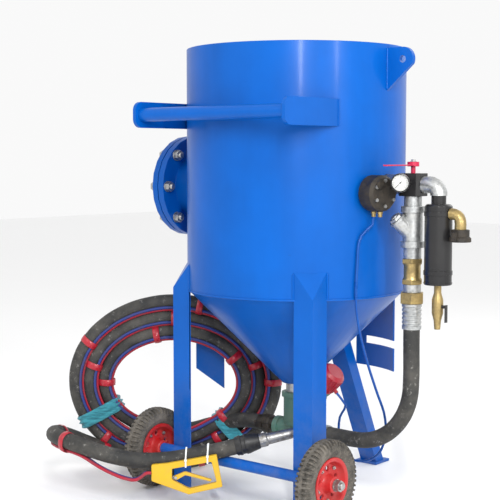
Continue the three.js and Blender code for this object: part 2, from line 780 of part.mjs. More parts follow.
const blockOutline = polygon([
  [-blockWidth / 2, -blockDepth / 2 + 10],
  [-blockWidth / 2 + 10, -blockDepth / 2],
  [blockWidth / 2 - 10, -blockDepth / 2],
  [blockWidth / 2, -blockDepth / 2 + 10],
  [blockWidth / 2, blockDepth / 2 - 10],
  [blockWidth / 2 - 10, blockDepth / 2],
  [-blockWidth / 2 + 10, blockDepth / 2],
  [-blockWidth / 2, blockDepth / 2 - 10],
]);
const leverStem = 7;
add('inlet_valve', onColumn(cut(
  extruded(blockOutline, blockHeight).translate(0, 0, blockBottom),
  rod(pipeBore, blockBottom - 1, inletHeight, 16),
  along(rod(pipeBore, -blockWidth, blockWidth, 16), [1, 0, 0], [0, 0, inletHeight]),
  rod(leverStem + gap, inletHeight, blockTop + 1, 12),
)), blackEnamel);
const leverHeight = blockTop + leverRise;
add('inlet_lever', onColumn(join(
  rod(leverStem, blockTop - 8, leverHeight + 1, 12),
  rod(18, leverHeight, leverHeight + 14, 16),
  block(leverWidth, leverLength, leverThickness, 0, -leverLength / 2, leverHeight + 4),
)), leverRed);

const strainerBranchPlace = [0, 0, strainerBottom + 34];
const strainerBranchAxis = [-0.42, -0.57, 0.7];
add('strainer_body', onColumn(cut(
  join(
    rod(nippleOuter, checkTop + gap, levelTop),
    rod(strainerDiameter / 2, strainerBottom, strainerTop),
    rod(strainerCollar / 2, strainerBottom, strainerBottom + 18),
    rod(strainerCollar / 2, strainerTop - 18, strainerTop),
    along(rod(strainerBranchDiameter / 2, 0, strainerBranchLength), strainerBranchAxis, strainerBranchPlace),
    along(
      rod(strainerBranchDiameter / 2 + 3, strainerBranchLength - 1, strainerBranchLength + 7),
      strainerBranchAxis, strainerBranchPlace,
    ),
  ),
  rod(pipeBore, checkTop, levelTop + 1, 16),
)), galvanised);
const checkRadius = checkValveDiameter / 2;
add('check_valve', onColumn(turned([
  [pipeBore, checkBottom],
  [checkRadius, checkBottom],
  [checkRadius, checkBottom + 16],
  [checkRadius - 3, checkBottom + 20],
  [checkRadius - 3, checkTop - 20],
  [checkRadius, checkTop - 16],
  [checkRadius, checkTop],
  [pipeBore, checkTop],
  [pipeBore, checkBottom],
])), brass);
add('hose_nut', onColumn(hexagon(hoseNutFlats, hoseNutLength, 2 * pipeBore).translate(0, 0, nutBottom)), brass);
const airHoseRadius = airHoseDiameter / 2;
const ferruleRadius = ferruleDiameter / 2;
const lowerFerruleStart = teeHalf + gap;
// A ferrule grips the hose's end: a cup whose floor has the bore.
function ferrule(length) {
  return turned([
    [pipeBore, 0],
    [ferruleRadius, 0],
    [ferruleRadius, length],
    [airHoseRadius + gap, length],
    [airHoseRadius + gap, 12],
    [pipeBore, 12],
    [pipeBore, 0],
  ]);
}
add('hose_ferrule_upper', along(ferrule(ferruleLength), [0, 0, -1], [columnReach, 0, ferruleTop]), galvanised);
add('hose_ferrule_lower', along(ferrule(lowerFerruleLength), [1, 0, 0], [lowerFerruleStart, 0, teeHeight]),
  galvanised);

// The air hose drops straight, then sweeps round to the tee.
const bendMiddle = [columnReach - airHoseBend, 0, teeHeight + airHoseBend];
const sweep = Array.from({ length: 7 }, (_, i) => {
  const angle = (Math.PI / 2) * (i / 6);
  return [
    bendMiddle[0] + airHoseBend * Math.cos(angle), 0, bendMiddle[2] - airHoseBend * Math.sin(angle),
  ];
});
add('air_hose', tubeThrough([
  [columnReach, 0, ferruleTop - 12 - gap],
  [columnReach, 0, (ferruleTop + bendMiddle[2]) / 2],
  ...sweep,
  [(lowerFerruleStart + bendMiddle[0]) / 2, 0, teeHeight],
  [lowerFerruleStart + 12 + gap, 0, teeHeight],
], airHoseDiameter, 10, 34), hoseRubber);

// ---- Moisture separator, its elbow, drain and air inlet -------------------------------------
const elbowPoints = [[columnReach + blockWidth / 2 + gap, 0, inletHeight]];
for (let i = 0; i <= 6; i += 1) {
  const angle = (Math.PI / 2) * (i / 6);
  elbowPoints.push([
    separatorReach - elbowBend + elbowBend * Math.sin(angle), 0,
    inletHeight - elbowBend + elbowBend * Math.cos(angle),
  ]);
}
const neckTop = inletHeight - elbowBend - 4 - gap;
elbowPoints.push([separatorReach, 0, neckTop + gap]);
add('separator_elbow', tubeThrough(elbowPoints, elbowDiameter, 12, 11), galvanised);
const bowlRadius = separatorDiameter / 2;
const drainBore = drainNippleDiameter / 2;
const neckInner = separatorNeck / 2 - separatorWall;
add('separator_bowl', turned([
  [drainBore + gap, separatorBottom],
  [bowlRadius, separatorBottom],
  [bowlRadius, separatorTop - 6],
  [bowlRadius - 6, separatorTop],
  [separatorNeck / 2, separatorTop],
  [separatorNeck / 2, neckTop],
  [neckInner, neckTop],
  [neckInner, separatorTop - separatorWall],
  [bowlRadius - separatorWall, separatorTop - separatorWall - 4],
  [bowlRadius - separatorWall, separatorBottom + separatorWall],
  [drainBore + gap, separatorBottom + separatorWall],
  [drainBore + gap, separatorBottom],
]).translate(separatorReach, 0, 0), blackEnamel);
const cockRadius = drainCockDiameter / 2;
const cockMiddle = (drainCockTop + drainCockBottom) / 2 + 14;
const cockPivot = 5;
add('drain_cock', cut(
  turned([
    [4, drainCockBottom],
    [9, drainCockBottom],
    [11, drainCockBottom + 26],
    [cockRadius, cockMiddle - 20],
    [cockRadius, cockMiddle + 20],
    [drainBore, drainCockTop],
    [drainBore, separatorBottom + separatorWall],
    [4, separatorBottom + separatorWall],
    [4, drainCockBottom],
  ], 16).translate(separatorReach, 0, 0),
  along(rod(cockPivot + gap, cockRadius - 8, cockRadius + 8, 10), [1, 0, 0], [separatorReach, 0, cockMiddle]),
), brass);
const drainLeverReach = separatorReach + cockRadius + 6;
add('drain_lever', join(
  along(rod(cockPivot, -12, 8, 10), [1, 0, 0], [drainLeverReach, 0, cockMiddle]),
  block(3.5, 12, 52, drainLeverReach + 6, 0, cockMiddle - 20),
), leverRed);
const sideInletHeight = 905;
const sideReach = separatorReach + bowlRadius + gap;
const sideTurn = 22;
add('inlet_elbow', tubeThrough([
  [sideReach, 0, sideInletHeight],
  [sideReach + 10, 0, sideInletHeight],
  [sideReach + 10 + sideTurn * 0.7, 0, sideInletHeight - sideTurn * 0.3],
  [sideReach + 10 + sideTurn, 0, sideInletHeight - sideTurn],
  [sideReach + 10 + sideTurn, 0, sideInletHeight - sideTurn - 22],
], 34, 12, 8), brass);
const inletDrop = sideInletHeight - sideTurn - 22 - gap;
add('inlet_coupling', along(clawHalf(), [0, 0, 1], [sideReach + 10 + sideTurn, 0, inletDrop - clawLength]),
  oliveCasting);

// ---- Pressure gauge ------------------------------------------------------------------------
const gaugeAxis = [0.5, -Math.sqrt(0.75), 0];
const gaugePlace = [columnReach + gaugeShift, -gaugeStandoff, inletHeight + gaugeRise];
const gaugeRadius = gaugeDiameter / 2;
const gaugeWall = 3;
const gaugeDialDepth = 7;
const needleRest = THREE.MathUtils.degToRad(165); // points down to the left at no pressure
add('gauge_case', join(
  along(turned([
    [0, 0],
    [gaugeRadius, 0],
    [gaugeRadius, gaugeDepth],
    [gaugeRadius - gaugeWall, gaugeDepth],
    [gaugeRadius - gaugeWall, gaugeDepth - gaugeDialDepth],
    [2 + gap, gaugeDepth - gaugeDialDepth],
    [2 + gap, gaugeDepth - gaugeDialDepth - 6],
    [0, gaugeDepth - gaugeDialDepth - 6],
  ]), gaugeAxis, gaugePlace),
  along(
    rod(8, 0, -blockDepth / 2 - gap - gaugePlace[1], 12),
    [0, 1, 0],
    [gaugePlace[0], gaugePlace[1], gaugePlace[2]],
  ),
), blackEnamel);
add('gauge_needle', along(join(
  rod(2, gaugeDepth - gaugeDialDepth - 5, gaugeDepth - gaugeDialDepth + 3, 10),
  block(1.6, 26, 1.2, 0, 7, gaugeDepth - gaugeDialDepth + 2),
).rotateZ(needleRest), gaugeAxis, gaugePlace), blackEnamel);

// ---- Control valve: a drum that opens the inlet when the remote handle is pressed -----------
const drumAxis = [Math.cos(controlDrumAngle), Math.sin(controlDrumAngle), 0];
const drumStart = tankRadius + 2;
const drumRadius = controlDrumDiameter / 2;
function onDrum(geometry) {
  return geometry
    .rotateY(Math.PI / 2)
    .rotateZ(controlDrumAngle)
    .translate(drumStart * drumAxis[0], drumStart * drumAxis[1], controlDrumHeight);
}
const fittingDrop = 16;
function drumFitting(out) {
  return along(rod(6.5, -3, fittingDrop, 10), [-1, 0, 0], [-drumRadius, 0, out]);
}
add('control_valve', onDrum(join(
  turned([
    [0, 0],
    [drumRadius * 0.8, 0],
    [drumRadius * 0.8, 10],
    [drumRadius, 10],
    [drumRadius, controlDrumLength - 10],
    [drumRadius - 8, controlDrumLength],
    [0, controlDrumLength],
  ]),
  rod(13, controlDrumLength - 1, controlDrumLength + 6, 14).translate(-26, -22, 0),
  drumFitting(18).rotateZ(Math.PI),
  drumFitting(46).rotateZ(Math.PI),
)), oliveCasting);

// ---- Pilot tube: from the control valve down to the metering valve's cap ---------------------
const pilotStart = [
  (drumStart + 18) * drumAxis[0], (drumStart + 18) * drumAxis[1],
  controlDrumHeight - drumRadius - fittingDrop - 2 * gap,
];
const portReach = capRadius + portLength + gap;
const pilotEnd = [
  (capPort + portReach) * Math.SQRT1_2, 0, branchStart + (capPort - portReach) * Math.SQRT1_2,
];
const hugging = tankRadius + pilotTubeDiameter;
add('pilot_tube', tubeThrough([
  pilotStart,
  [pilotStart[0], pilotStart[1], pilotStart[2] - 18],
  [hugging * Math.cos(-0.345), hugging * Math.sin(-0.345), 832],
  [hugging * Math.cos(-0.375), hugging * Math.sin(-0.375), 750],
  [hugging * Math.cos(-0.385), hugging * Math.sin(-0.385), jointHeight],
  [332, -118, 560],
  [334, -80, 460],
  [336, -30, 360],
  [334, 22, 270],
  [322, 44, 200],
  [292, 56, 140],
  [236, 64, 104],
  [176, 66, 100],
  [138, 62, 126],
  [136, 54, 180],
  [150, 40, 236],
  [pilotEnd[0] + 26, 10, pilotEnd[2] - 34],
  [pilotEnd[0] + 10, 0, pilotEnd[2] - 10],
  pilotEnd,
], pilotTubeDiameter, 8, 24), blueTube);

// ---- Frame in which the free hoses are laid: u runs along the coil, v goes behind it ----------
const coilTurn = THREE.MathUtils.degToRad(40);
function laid([u, v, height]) {
  return [
    u * Math.cos(coilTurn) - v * Math.sin(coilTurn), u * Math.sin(coilTurn) + v * Math.cos(coilTurn), height,
  ];
}

// ---- Blast hose: lead from the coupling, upright oval coil, run to the nozzle -----------------
const coilMiddle = [-405, 211];
const coilLift = 0.5;
const coilFront = coilMiddle[1] - coilDepth / 2;
function oval(width, height) {
  const path = new THREE.Shape();
  path.absellipse(0, 0, width / 2, height / 2, 0, 2 * Math.PI, false, 0);
  return path;
}
const coilShape = oval(coilWidth, coilHeight);
coilShape.holes.push(oval(coilWidth - 2 * coilBand, coilHeight - 2 * coilBand));
const coil = new THREE.ExtrudeGeometry(coilShape, { depth: coilDepth, bevelEnabled: false, curveSegments: 20 })
  .rotateX(Math.PI / 2)
  .translate(coilMiddle[0], coilFront + coilDepth, coilHeight / 2 + coilLift)
  .rotateZ(coilTurn);
add('blast_hose_coil', coil, hoseRubber);

// The hose rest is a flat plate behind the coil, welded edge-on to the barrel.
const restStart = -Math.sqrt(tankRadius ** 2 - (coilFront + coilDepth + gap) ** 2);
const restShape = polygon([
  [restStart + wall, outletHeight - 72],
  [restStart + wall, jointHeight + restWeld],
  [restStart - restWidth, jointHeight + restWeld],
  [restStart - restWidth, outletHeight],
]);
add('hose_rest', cut(
  new THREE.ExtrudeGeometry(restShape, { depth: restThickness, bevelEnabled: false })
    .rotateX(Math.PI / 2)
    .translate(0, coilFront + coilDepth + gap + restThickness, 0)
    .rotateZ(coilTurn),
  tankSpace,
), blueEnamel);
const behindCoilFront = new THREE.BoxGeometry(4 * coilWidth, 2 * coilWidth, 4 * coilHeight)
  .translate(0, coilFront - gap + coilWidth, 0)
  .rotateZ(coilTurn);
const leadStart = [hoseStart * Math.cos(coilTurn), -hoseStart * Math.sin(coilTurn), teeHeight];
add('blast_hose_lead', cut(tubeThrough([
  leadStart,
  [leadStart[0] - 26, leadStart[1] + 22, teeHeight],
  [-165, 138, 183],
  [-188, 159, 178],
  [-215, 182, 168],
  [-250, 205, 150],
].map(laid), blastHoseDiameter, 10, 30), behindCoilFront), hoseRubber);
const runPoints = [
  [-600, 214, 54],
  [-645, 209, 68],
  [-700, 186, 92],
  [-750, 136, 126],
  [-779, 62, 156],
  [-785, -20, 175],
  [-766, -98, 184],
  [-722, -160, 184],
  [-665, -197, 174],
  [-606, -211, 157],
  [-544, -213, 142],
  [-483, -213, 134],
  [-407, -212, 136],
  [-331, -212, 148],
  [-255, -212, 163],
  [-192, -212, 178],
];
add('blast_hose_run', cut(tubeThrough(runPoints.map(laid), blastHoseDiameter, 10, 60), behindCoilFront),
  hoseRubber);

// ---- Nozzle holder and nozzle on the hose's end ------------------------------------------------
const runEnd = runPoints[runPoints.length - 1];
const nozzleLift = Math.atan2(15, 63);
const nozzleAxis = laid([Math.cos(nozzleLift), 0, Math.sin(nozzleLift)]);
function onNozzle(geometry) {
  return along(geometry, nozzleAxis, laid(runEnd));
}
const nozzleRadius = nozzleDiameter / 2;
const holderEnd = holderLength + gap;
add('nozzle_holder', onNozzle(turned([
  [16, gap],
  [holderDiameter / 2 - 4, gap],
  [holderDiameter / 2, 6],
  [holderDiameter / 2, holderLength * 0.6],
  [nozzleRadius + 6, holderLength],
  [16, holderLength],
  [16, gap],
])), blackEnamel);
add('nozzle', onNozzle(turned([
  [8, holderEnd + gap],
  [nozzleRadius + 4, holderEnd + gap],
  [nozzleRadius + 4, holderEnd + 22],
  [nozzleRadius, holderEnd + 26],
  [nozzleRadius - 3, holderEnd + nozzleLength],
  [8, holderEnd + nozzleLength],
  [8, holderEnd + gap],
])), steel);

// ---- Remote handle: a flat frame hung under the hose, with a squeeze lever ----------------------
const remoteBack = -240; // v of its rear face
const remoteThickness = 14;
function remotePlate(shape, thickness) {
  return new THREE.ExtrudeGeometry(shape, { depth: thickness, bevelEnabled: false, curveSegments: 6 })
    .rotateX(Math.PI / 2)
    .translate(0, remoteBack - (remoteThickness - thickness) / 2, 0)
    .rotateZ(coilTurn);
}
const frameShape = polygon([[-450, 80], [-336, 38], [-232, 62], [-250, 162], [-400, 135], [-450, 130]]);
frameShape.holes.push(polygon([[-387, 84], [-387, 118], [-266, 140], [-250, 76], [-335, 56]]));
add('remote_frame', remotePlate(frameShape, remoteThickness), yellowEnamel);
const leverShape = polygon([
  [-382, 86], [-378, 83], [-371, 83], [-346, 98], [-268, 78], [-265, 84], [-344, 108], [-350, 108], [-380, 95],
]);
add('remote_lever', remotePlate(leverShape, remoteThickness - 4), yellowEnamel);

// ---- Twin control line: two thin hoses side by side, strapped under the blast hose --------------
const twinDrop = blastHoseDiameter / 2 + twinLineWidth / 2 + 5;
const twinPoints = [
  ...runPoints.slice(0, 9).map(([u, v, height]) => [u, v, height - twinDrop]),
  [-612, -222, 116],
  [-570, -236, 99],
  [-530, -244, 86],
  [-500, -247, 83],
  [-482, -247, 92],
  [-466, -247, 104],
  [-458, -247, 105],
  [-450 - gap, -247, 105],
];
add('twin_line_run', cut(tubeThrough(twinPoints.map(laid), twinLineWidth, 8, 34), behindCoilFront), twinJacket);

// ---- Origin: on the floor under the middle of the machine, without the free hoses ---------------
const freeHoses = [
  'blast_hose_coil', 'blast_hose_lead', 'blast_hose_run', 'twin_line_run', 'nozzle_holder', 'nozzle',
];
const footprint = new THREE.Box3();
for (const mesh of machine.children) {
  if (!freeHoses.includes(mesh.name)) footprint.expandByObject(mesh);
}
const middle = footprint.getCenter(new THREE.Vector3());
machine.position.set(-middle.x, -middle.y, -footprint.min.z);

export default machine;
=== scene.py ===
import math
import bpy
import bmesh
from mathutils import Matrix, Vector
from mathutils.noise import noise


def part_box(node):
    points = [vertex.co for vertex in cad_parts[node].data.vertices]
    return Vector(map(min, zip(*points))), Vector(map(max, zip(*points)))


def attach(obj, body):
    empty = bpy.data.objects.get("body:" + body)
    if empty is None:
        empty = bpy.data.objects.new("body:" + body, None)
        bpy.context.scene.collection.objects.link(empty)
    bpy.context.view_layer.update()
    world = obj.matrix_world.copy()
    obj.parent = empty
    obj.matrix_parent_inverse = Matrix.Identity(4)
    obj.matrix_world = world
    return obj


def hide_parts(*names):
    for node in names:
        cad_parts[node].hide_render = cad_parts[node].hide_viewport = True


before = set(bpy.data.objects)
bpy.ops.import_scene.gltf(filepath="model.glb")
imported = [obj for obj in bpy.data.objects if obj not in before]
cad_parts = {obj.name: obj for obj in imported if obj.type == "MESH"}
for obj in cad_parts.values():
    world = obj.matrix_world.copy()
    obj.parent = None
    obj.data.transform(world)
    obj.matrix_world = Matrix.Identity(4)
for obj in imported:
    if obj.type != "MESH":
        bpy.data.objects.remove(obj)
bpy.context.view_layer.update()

# ---- Camera ----------------------------------------------------------------------------
# It stands in front of the push handle and to the right, a little above the piping,
# with a long lens that looks slightly down.
camera = bpy.data.objects.new("camera", bpy.data.cameras.new("camera"))
bpy.context.scene.collection.objects.link(camera)
bpy.context.scene.camera = camera
camera.data.lens = 86
camera.location = (2.284, -3.030, 1.074)
look = Vector((-0.643, 0.766, -math.tan(math.radians(4.5))))
camera.rotation_mode = "QUATERNION"
camera.rotation_quaternion = look.to_track_quat("-Z", "Y")
camera.data.clip_end = 60

# ---- Finishes: how shader maths is written -----------------------------------------------
# A Finish is one material with its shader. A Tap is one socket inside it, and sums and
# products of taps add the Math nodes.
class Tap:
    def __init__(self, finish, socket):
        self.finish = finish
        self.socket = socket

    def maths(self, operation, first, second):
        return self.finish.node("ShaderNodeMath", {"operation": operation}, [first, second])

    def __add__(self, other):
        return self.maths("ADD", self, other)

    def __radd__(self, other):
        return self.maths("ADD", other, self)

    def __sub__(self, other):
        return self.maths("SUBTRACT", self, other)

    def __rsub__(self, other):
        return self.maths("SUBTRACT", other, self)

    def __mul__(self, other):
        return self.maths("MULTIPLY", self, other)

    def __rmul__(self, other):
        return self.maths("MULTIPLY", other, self)

    def __gt__(self, other):
        return self.maths("GREATER_THAN", self, other)


class Finish:
    def __init__(self, name, **fixed):
        self.material = bpy.data.materials.new(name)
        self.material.use_nodes = True
        self.shader = self.material.node_tree.nodes["Principled BSDF"]
        for socket, value in fixed.items():
            self.shader.inputs[socket.replace("_", " ")].default_value = value

    def link(self, value, socket):
        if isinstance(value, Tap):
            self.material.node_tree.links.new(value.socket, socket)
        else:
            socket.default_value = value

    def node(self, kind, settings, values, out=0):
        made = self.material.node_tree.nodes.new(kind)
        for name, value in settings.items():
            setattr(made, name, value)
        named = values.items() if isinstance(values, dict) else enumerate(values)
        open_sockets = [s for s in made.inputs if s.enabled]
        for name, value in named:
            if isinstance(name, int):
                self.link(value, open_sockets[name])
            else:
                self.link(value, next(s for s in open_sockets if s.name == name))
        shown = [s for s in made.outputs if s.enabled]
        return Tap(self, shown[out])

    def place(self):
        """Places on the object itself, in metres."""
        return self.node("ShaderNodeTexCoord", {}, {}, out=3)

    def stretched(self, x, y, z):
        return self.node("ShaderNodeMapping", {}, {"Vector": self.place(), "Scale": (x, y, z)})

    def speckle(self, scale, detail=3.0, rough=0.55, at=None):
        values = {"Vector": at or self.place(), "Scale": scale, "Detail": detail, "Roughness": rough}
        return self.node("ShaderNodeTexNoise", {}, values)

    def step(self, value, low, high):
        return self.node("ShaderNodeMapRange", {}, [value, low, high, 0.0, 1.0])

    def blend(self, mask, first, second):
        return self.node("ShaderNodeMix", {"data_type": "RGBA"}, {"Factor": mask, "A": first, "B": second})

    def height(self):
        return self.node("ShaderNodeSeparateXYZ", {}, [self.place()], out=2)

    def bump(self, height, strength, distance=0.001):
        values = {"Height": height, "Strength": strength, "Distance": distance}
        self.link(self.node("ShaderNodeBump", {}, values), self.shader.inputs["Normal"])

    def set(self, **values):
        for socket, value in values.items():
            self.link(value, self.shader.inputs[socket.replace("_", " ")])


def colour(red, green, blue):
    return (red, green, blue, 1.0)


# ---- Blast hose --------------------------------------------------------------------------
# One heavy rubber hose, 50 mm outside. It leaves the claw coupling, is wound into three
# upright oval turns tied together, and comes round the front to its nozzle.
ORIGIN = Vector((-0.07815, 0.013915, 0))
COIL_TURN = math.radians(40)
HOSE = 0.050


def laid(u, v, height):
    """A point given along the coil, behind it and above the floor, in the row frame."""
    x = u * math.cos(COIL_TURN) - v * math.sin(COIL_TURN)
    y = u * math.sin(COIL_TURN) + v * math.cos(COIL_TURN)
    return Vector((x, y, height)) + ORIGIN


COIL_MIDDLE = Vector((-0.405, 0.3025))
COIL_INNER = Vector((0.239, 0.175))
COIL_FIRST, COIL_LAST, COIL_STEP = -30, 1100, 15


def along_keys(value, keys):
    """Reads a value off a list of (angle, value) keys, eased between them."""
    for (a, first), (b, second) in zip(keys, keys[1:]):
        if value <= b:
            share = max(0.0, (value - a) / (b - a))
            share = share * share * (3 - 2 * share)
            return first + (second - first) * share
    return keys[-1][1]


COIL_PITCH = 0.0505  # how far each turn lies outside the one before it
coil_growth = [(-30, 0), (320, 0), (400, COIL_PITCH), (680, COIL_PITCH),
               (760, 2 * COIL_PITCH), (1100, 2 * COIL_PITCH)]
coil_depth = [(-30, 0.212), (0, 0.231), (60, 0.206), (320, 0.196), (360, 0.192), (410, 0.203),
              (680, 0.212), (720, 0.231), (775, 0.212), (1030, 0.196), (1080, 0.192), (1100, 0.194)]
hose_route = [(-0.1133, 0.0951, 0.186), (-0.1393, 0.1171, 0.186), (-0.165, 0.138, 0.183),
              (-0.188, 0.159, 0.178), (-0.218, 0.184, 0.167)]
lead_points = len(hose_route)
for degrees in range(COIL_FIRST, COIL_LAST + 1, COIL_STEP):
    angle = math.radians(degrees)
    grown = along_keys(degrees, coil_growth)
    hose_route.append((
        COIL_MIDDLE.x - (COIL_INNER.x + grown) * math.sin(angle),
        along_keys(degrees, coil_depth),
        COIL_MIDDLE.y - (COIL_INNER.y + grown) * math.cos(angle),
    ))
coil_points = len(hose_route) - lead_points
hose_route += [
    (-0.600, 0.206, 0.054), (-0.645, 0.204, 0.068), (-0.700, 0.184, 0.092), (-0.750, 0.136, 0.126),
    (-0.779, 0.062, 0.156), (-0.785, -0.020, 0.175), (-0.766, -0.098, 0.184), (-0.722, -0.160, 0.184),
    (-0.665, -0.197, 0.174), (-0.606, -0.211, 0.157), (-0.544, -0.213, 0.142), (-0.483, -0.213, 0.134),
    (-0.407, -0.212, 0.136), (-0.331, -0.212, 0.148), (-0.255, -0.212, 0.163), (-0.192, -0.212, 0.178),
]


def hose_curve(name, points, diameter, finish):
    """A hose as one smooth curve of round section through its points."""
    data = bpy.data.curves.new(name, "CURVE")
    data.dimensions = "3D"
    data.bevel_depth = diameter / 2
    data.bevel_resolution = 5
    data.resolution_u = 5
    spline = data.splines.new("BEZIER")
    spline.bezier_points.add(len(points) - 1)
    for knot, point in zip(spline.bezier_points, points):
        knot.co = point
        knot.handle_left_type = knot.handle_right_type = "AUTO"
    made = bpy.data.objects.new(name, data)
    bpy.context.scene.collection.objects.link(made)
    data.materials.append(finish.material)
    return made


def route_length(points):
    return sum((b - a).length for a, b in zip(points, points[1:]))


hose_rubber = Finish("hose_rubber", Specular_IOR_Level=0.35)
dust = hose_rubber.step(hose_rubber.speckle(9, 6, 0.7), 0.40, 0.66)
chalk = hose_rubber.step(hose_rubber.speckle(48, 5, 0.75), 0.585, 0.68)
rubber = hose_rubber.blend(dust * 0.8, colour(0.026, 0.026, 0.025), colour(0.105, 0.098, 0.086))
rubber = hose_rubber.blend(chalk * 0.55, rubber, colour(0.30, 0.29, 0.27))
hose_rubber.set(Base_Color=rubber, Roughness=0.62 + dust * 0.25)
cloth_marks = hose_rubber.node("ShaderNodeTexWave", {"bands_direction": "DIAGONAL"},
                               {"Vector": hose_rubber.place(), "Scale": 160, "Distortion": 2.0})
hose_rubber.bump(cloth_marks * 0.4 + hose_rubber.speckle(260, 2), 0.45, 0.0008)

hose_points = [laid(*point) for point in hose_route]
blast_hose = hose_curve("blast_hose", hose_points, HOSE, hose_rubber)
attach(blast_hose, "pot")
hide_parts("blast_hose_lead", "blast_hose_coil", "blast_hose_run")

# ---- Twin control line ---------------------------------------------------------------------
# Two 10 mm air lines, one red and one blue, taped side by side to the blast hose. They lie on
# the inner front of its turns, then under its last run, and end in the remote handle.
LINE = 0.010


def beside_hose(index, angle):
    """A place on the hose's side at one of its points; angle runs from inward (0) to below (180)."""
    before = hose_points[max(index - 1, 0)]
    after = hose_points[min(index + 1, len(hose_points) - 1)]
    heading = (after - before).normalized()
    on_coil = index < lead_points + coil_points
    middle = laid(COIL_MIDDLE.x, hose_route[index][1], COIL_MIDDLE.y)
    inward = (middle - hose_points[index]) if on_coil else Vector((0, 0, 1))
    inward = (inward - heading * inward.dot(heading)).normalized()
    side = heading.cross(inward).normalized()
    if on_coil and side.dot(laid(0, -1, 0) - laid(0, 0, 0)) < 0:
        side = -side
    turn = math.radians(angle)
    return hose_points[index] + (inward * math.cos(turn) + side * math.sin(turn)) * (HOSE + LINE) / 2


line_end = [(-0.612, -0.222, 0.116), (-0.570, -0.236, 0.099), (-0.530, -0.243, 0.086),
            (-0.500, -0.246, 0.083), (-0.482, -0.247, 0.092), (-0.466, -0.247, 0.104),
            (-0.450, -0.247, 0.105)]
run_start = lead_points + coil_points
line_first = lead_points + 2
LINE_RUN_POINTS = 9  # points over which the lines follow the hose's last run
LINE_TURN_POINTS = 5  # points over which they pass from the coil's side to under the run
LINE_HALF_GAP = 0.0052
LINE_ANGLES = {"control_line_red": (34, 170), "control_line_blue": (54, 190)}
LINE_COLOURS = {"control_line_red": (0.36, 0.012, 0.030), "control_line_blue": (0.020, 0.040, 0.20)}
line_knots = {}
control_lines = {}
for line_name, (coil_angle, run_angle) in LINE_ANGLES.items():
    jacket = Finish(line_name, Specular_IOR_Level=0.35)
    grime = jacket.step(jacket.speckle(26, 5, 0.65), 0.45, 0.75)
    red, green, blue = LINE_COLOURS[line_name]
    jacket.set(Base_Color=jacket.blend(grime * 0.6, colour(red, green, blue), colour(0.08, 0.06, 0.07)),
               Roughness=0.38 + grime * 0.35)
    jacket.bump(jacket.speckle(320, 2), 0.2, 0.0004)
    knots = [beside_hose(i, coil_angle) for i in range(line_first, run_start)]
    for i in range(run_start, run_start + LINE_RUN_POINTS):
        share = min(1.0, (i - run_start + 1) / LINE_TURN_POINTS)
        knots.append(beside_hose(i, coil_angle + (run_angle - coil_angle) * share))
    offset = -LINE_HALF_GAP if line_name.endswith("red") else LINE_HALF_GAP
    knots += [laid(u, v + offset, height) for u, v, height in line_end]
    knots.reverse()
    line_knots[line_name] = knots
    line = hose_curve(line_name, knots, LINE, jacket)
    line.data.bevel_resolution = 3
    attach(line, "pot")
    control_lines[line_name] = line
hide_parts("twin_line_run")


# ---- Meshes: how pieces are turned, joined and rounded ---------------------------------------
# Turned pieces come from an outline of (radius, height) pairs swept about an axis; other pieces
# are faces in a bmesh. Each is built in place, so its object stays at the origin.
SMOOTH_BELOW = 38  # degrees; shallower edges are smooth


def finished(name, shape, finish, body, smooth_below=SMOOTH_BELOW, rounding=0.0):
    """Makes an object of a bmesh, smooth across shallow edges and with its sharp edges rounded."""
    bmesh.ops.remove_doubles(shape, verts=shape.verts, dist=1e-6)
    bmesh.ops.recalc_face_normals(shape, faces=shape.faces)
    data = bpy.data.meshes.new(name)
    shape.to_mesh(data)
    shape.free()
    made = bpy.data.objects.new(name, data)
    bpy.context.scene.collection.objects.link(made)
    data.shade_smooth()
    if rounding:
        bevel = made.modifiers.new("rounding", "BEVEL")
        bevel.width = rounding
        bevel.segments = 2
        bevel.limit_method = "ANGLE"
        bevel.angle_limit = math.radians(smooth_below)
        bevel.harden_normals = True
    else:
        data.set_sharp_from_angle(angle=math.radians(smooth_below))
    data.materials.append(finish.material)
    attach(made, body)
    return made


def turned(shape, outline, place, axis=(0, 0, 1), sides=48):
    """Adds a solid swept about an axis to a bmesh."""
    turn = Vector((0, 0, 1)).rotation_difference(Vector(axis))
    rings = []
    for radius, height in outline:
        if radius < 1e-7:
            rings.append([shape.verts.new(Vector(place) + turn @ Vector((0, 0, height)))])
            continue
        ring = []
        for i in range(sides):
            angle = 2 * math.pi * i / sides
            flat = Vector((radius * math.cos(angle), radius * math.sin(angle), height))
            ring.append(shape.verts.new(Vector(place) + turn @ flat))
        rings.append(ring)
    pairs = list(zip(rings, rings[1:]))
    if len(rings[0]) > 1 and len(rings[-1]) > 1:
        pairs.append((rings[-1], rings[0]))
    for low, high in pairs:
        for i in range(sides):
            j = (i + 1) % sides
            if len(low) == 1 and len(high) > 1:
                shape.faces.new((low[0], high[j], high[i]))
            elif len(high) == 1 and len(low) > 1:
                shape.faces.new((low[i], low[j], high[0]))
            elif len(low) > 1:
                shape.faces.new((low[i], low[j], high[j], high[i]))
    return shape


def prism(shape, corners, along):
    """Adds a straight prism to a bmesh: its corners, in order, and the way that it is long."""
    near = [shape.verts.new(Vector(c)) for c in corners]
    far = [shape.verts.new(Vector(c) + Vector(along)) for c in corners]
    shape.faces.new(near)
    shape.faces.new(far[::-1])
    for i in range(len(corners)):
        j = (i + 1) % len(corners)
        shape.faces.new((near[i], far[i], far[j], near[j]))
    return shape


def hexagon(place, axis, flats, length, shape):
    """Adds a hexagon head or nut to a bmesh."""
    turn = Vector((0, 0, 1)).rotation_difference(Vector(axis))
    radius = flats / math.sqrt(3)
    corners = [turn @ Vector((radius * math.cos(a), radius * math.sin(a), 0)) + Vector(place)
               for a in (math.pi * i / 3 for i in range(6))]
    return prism(shape, corners, turn @ Vector((0, 0, length)))


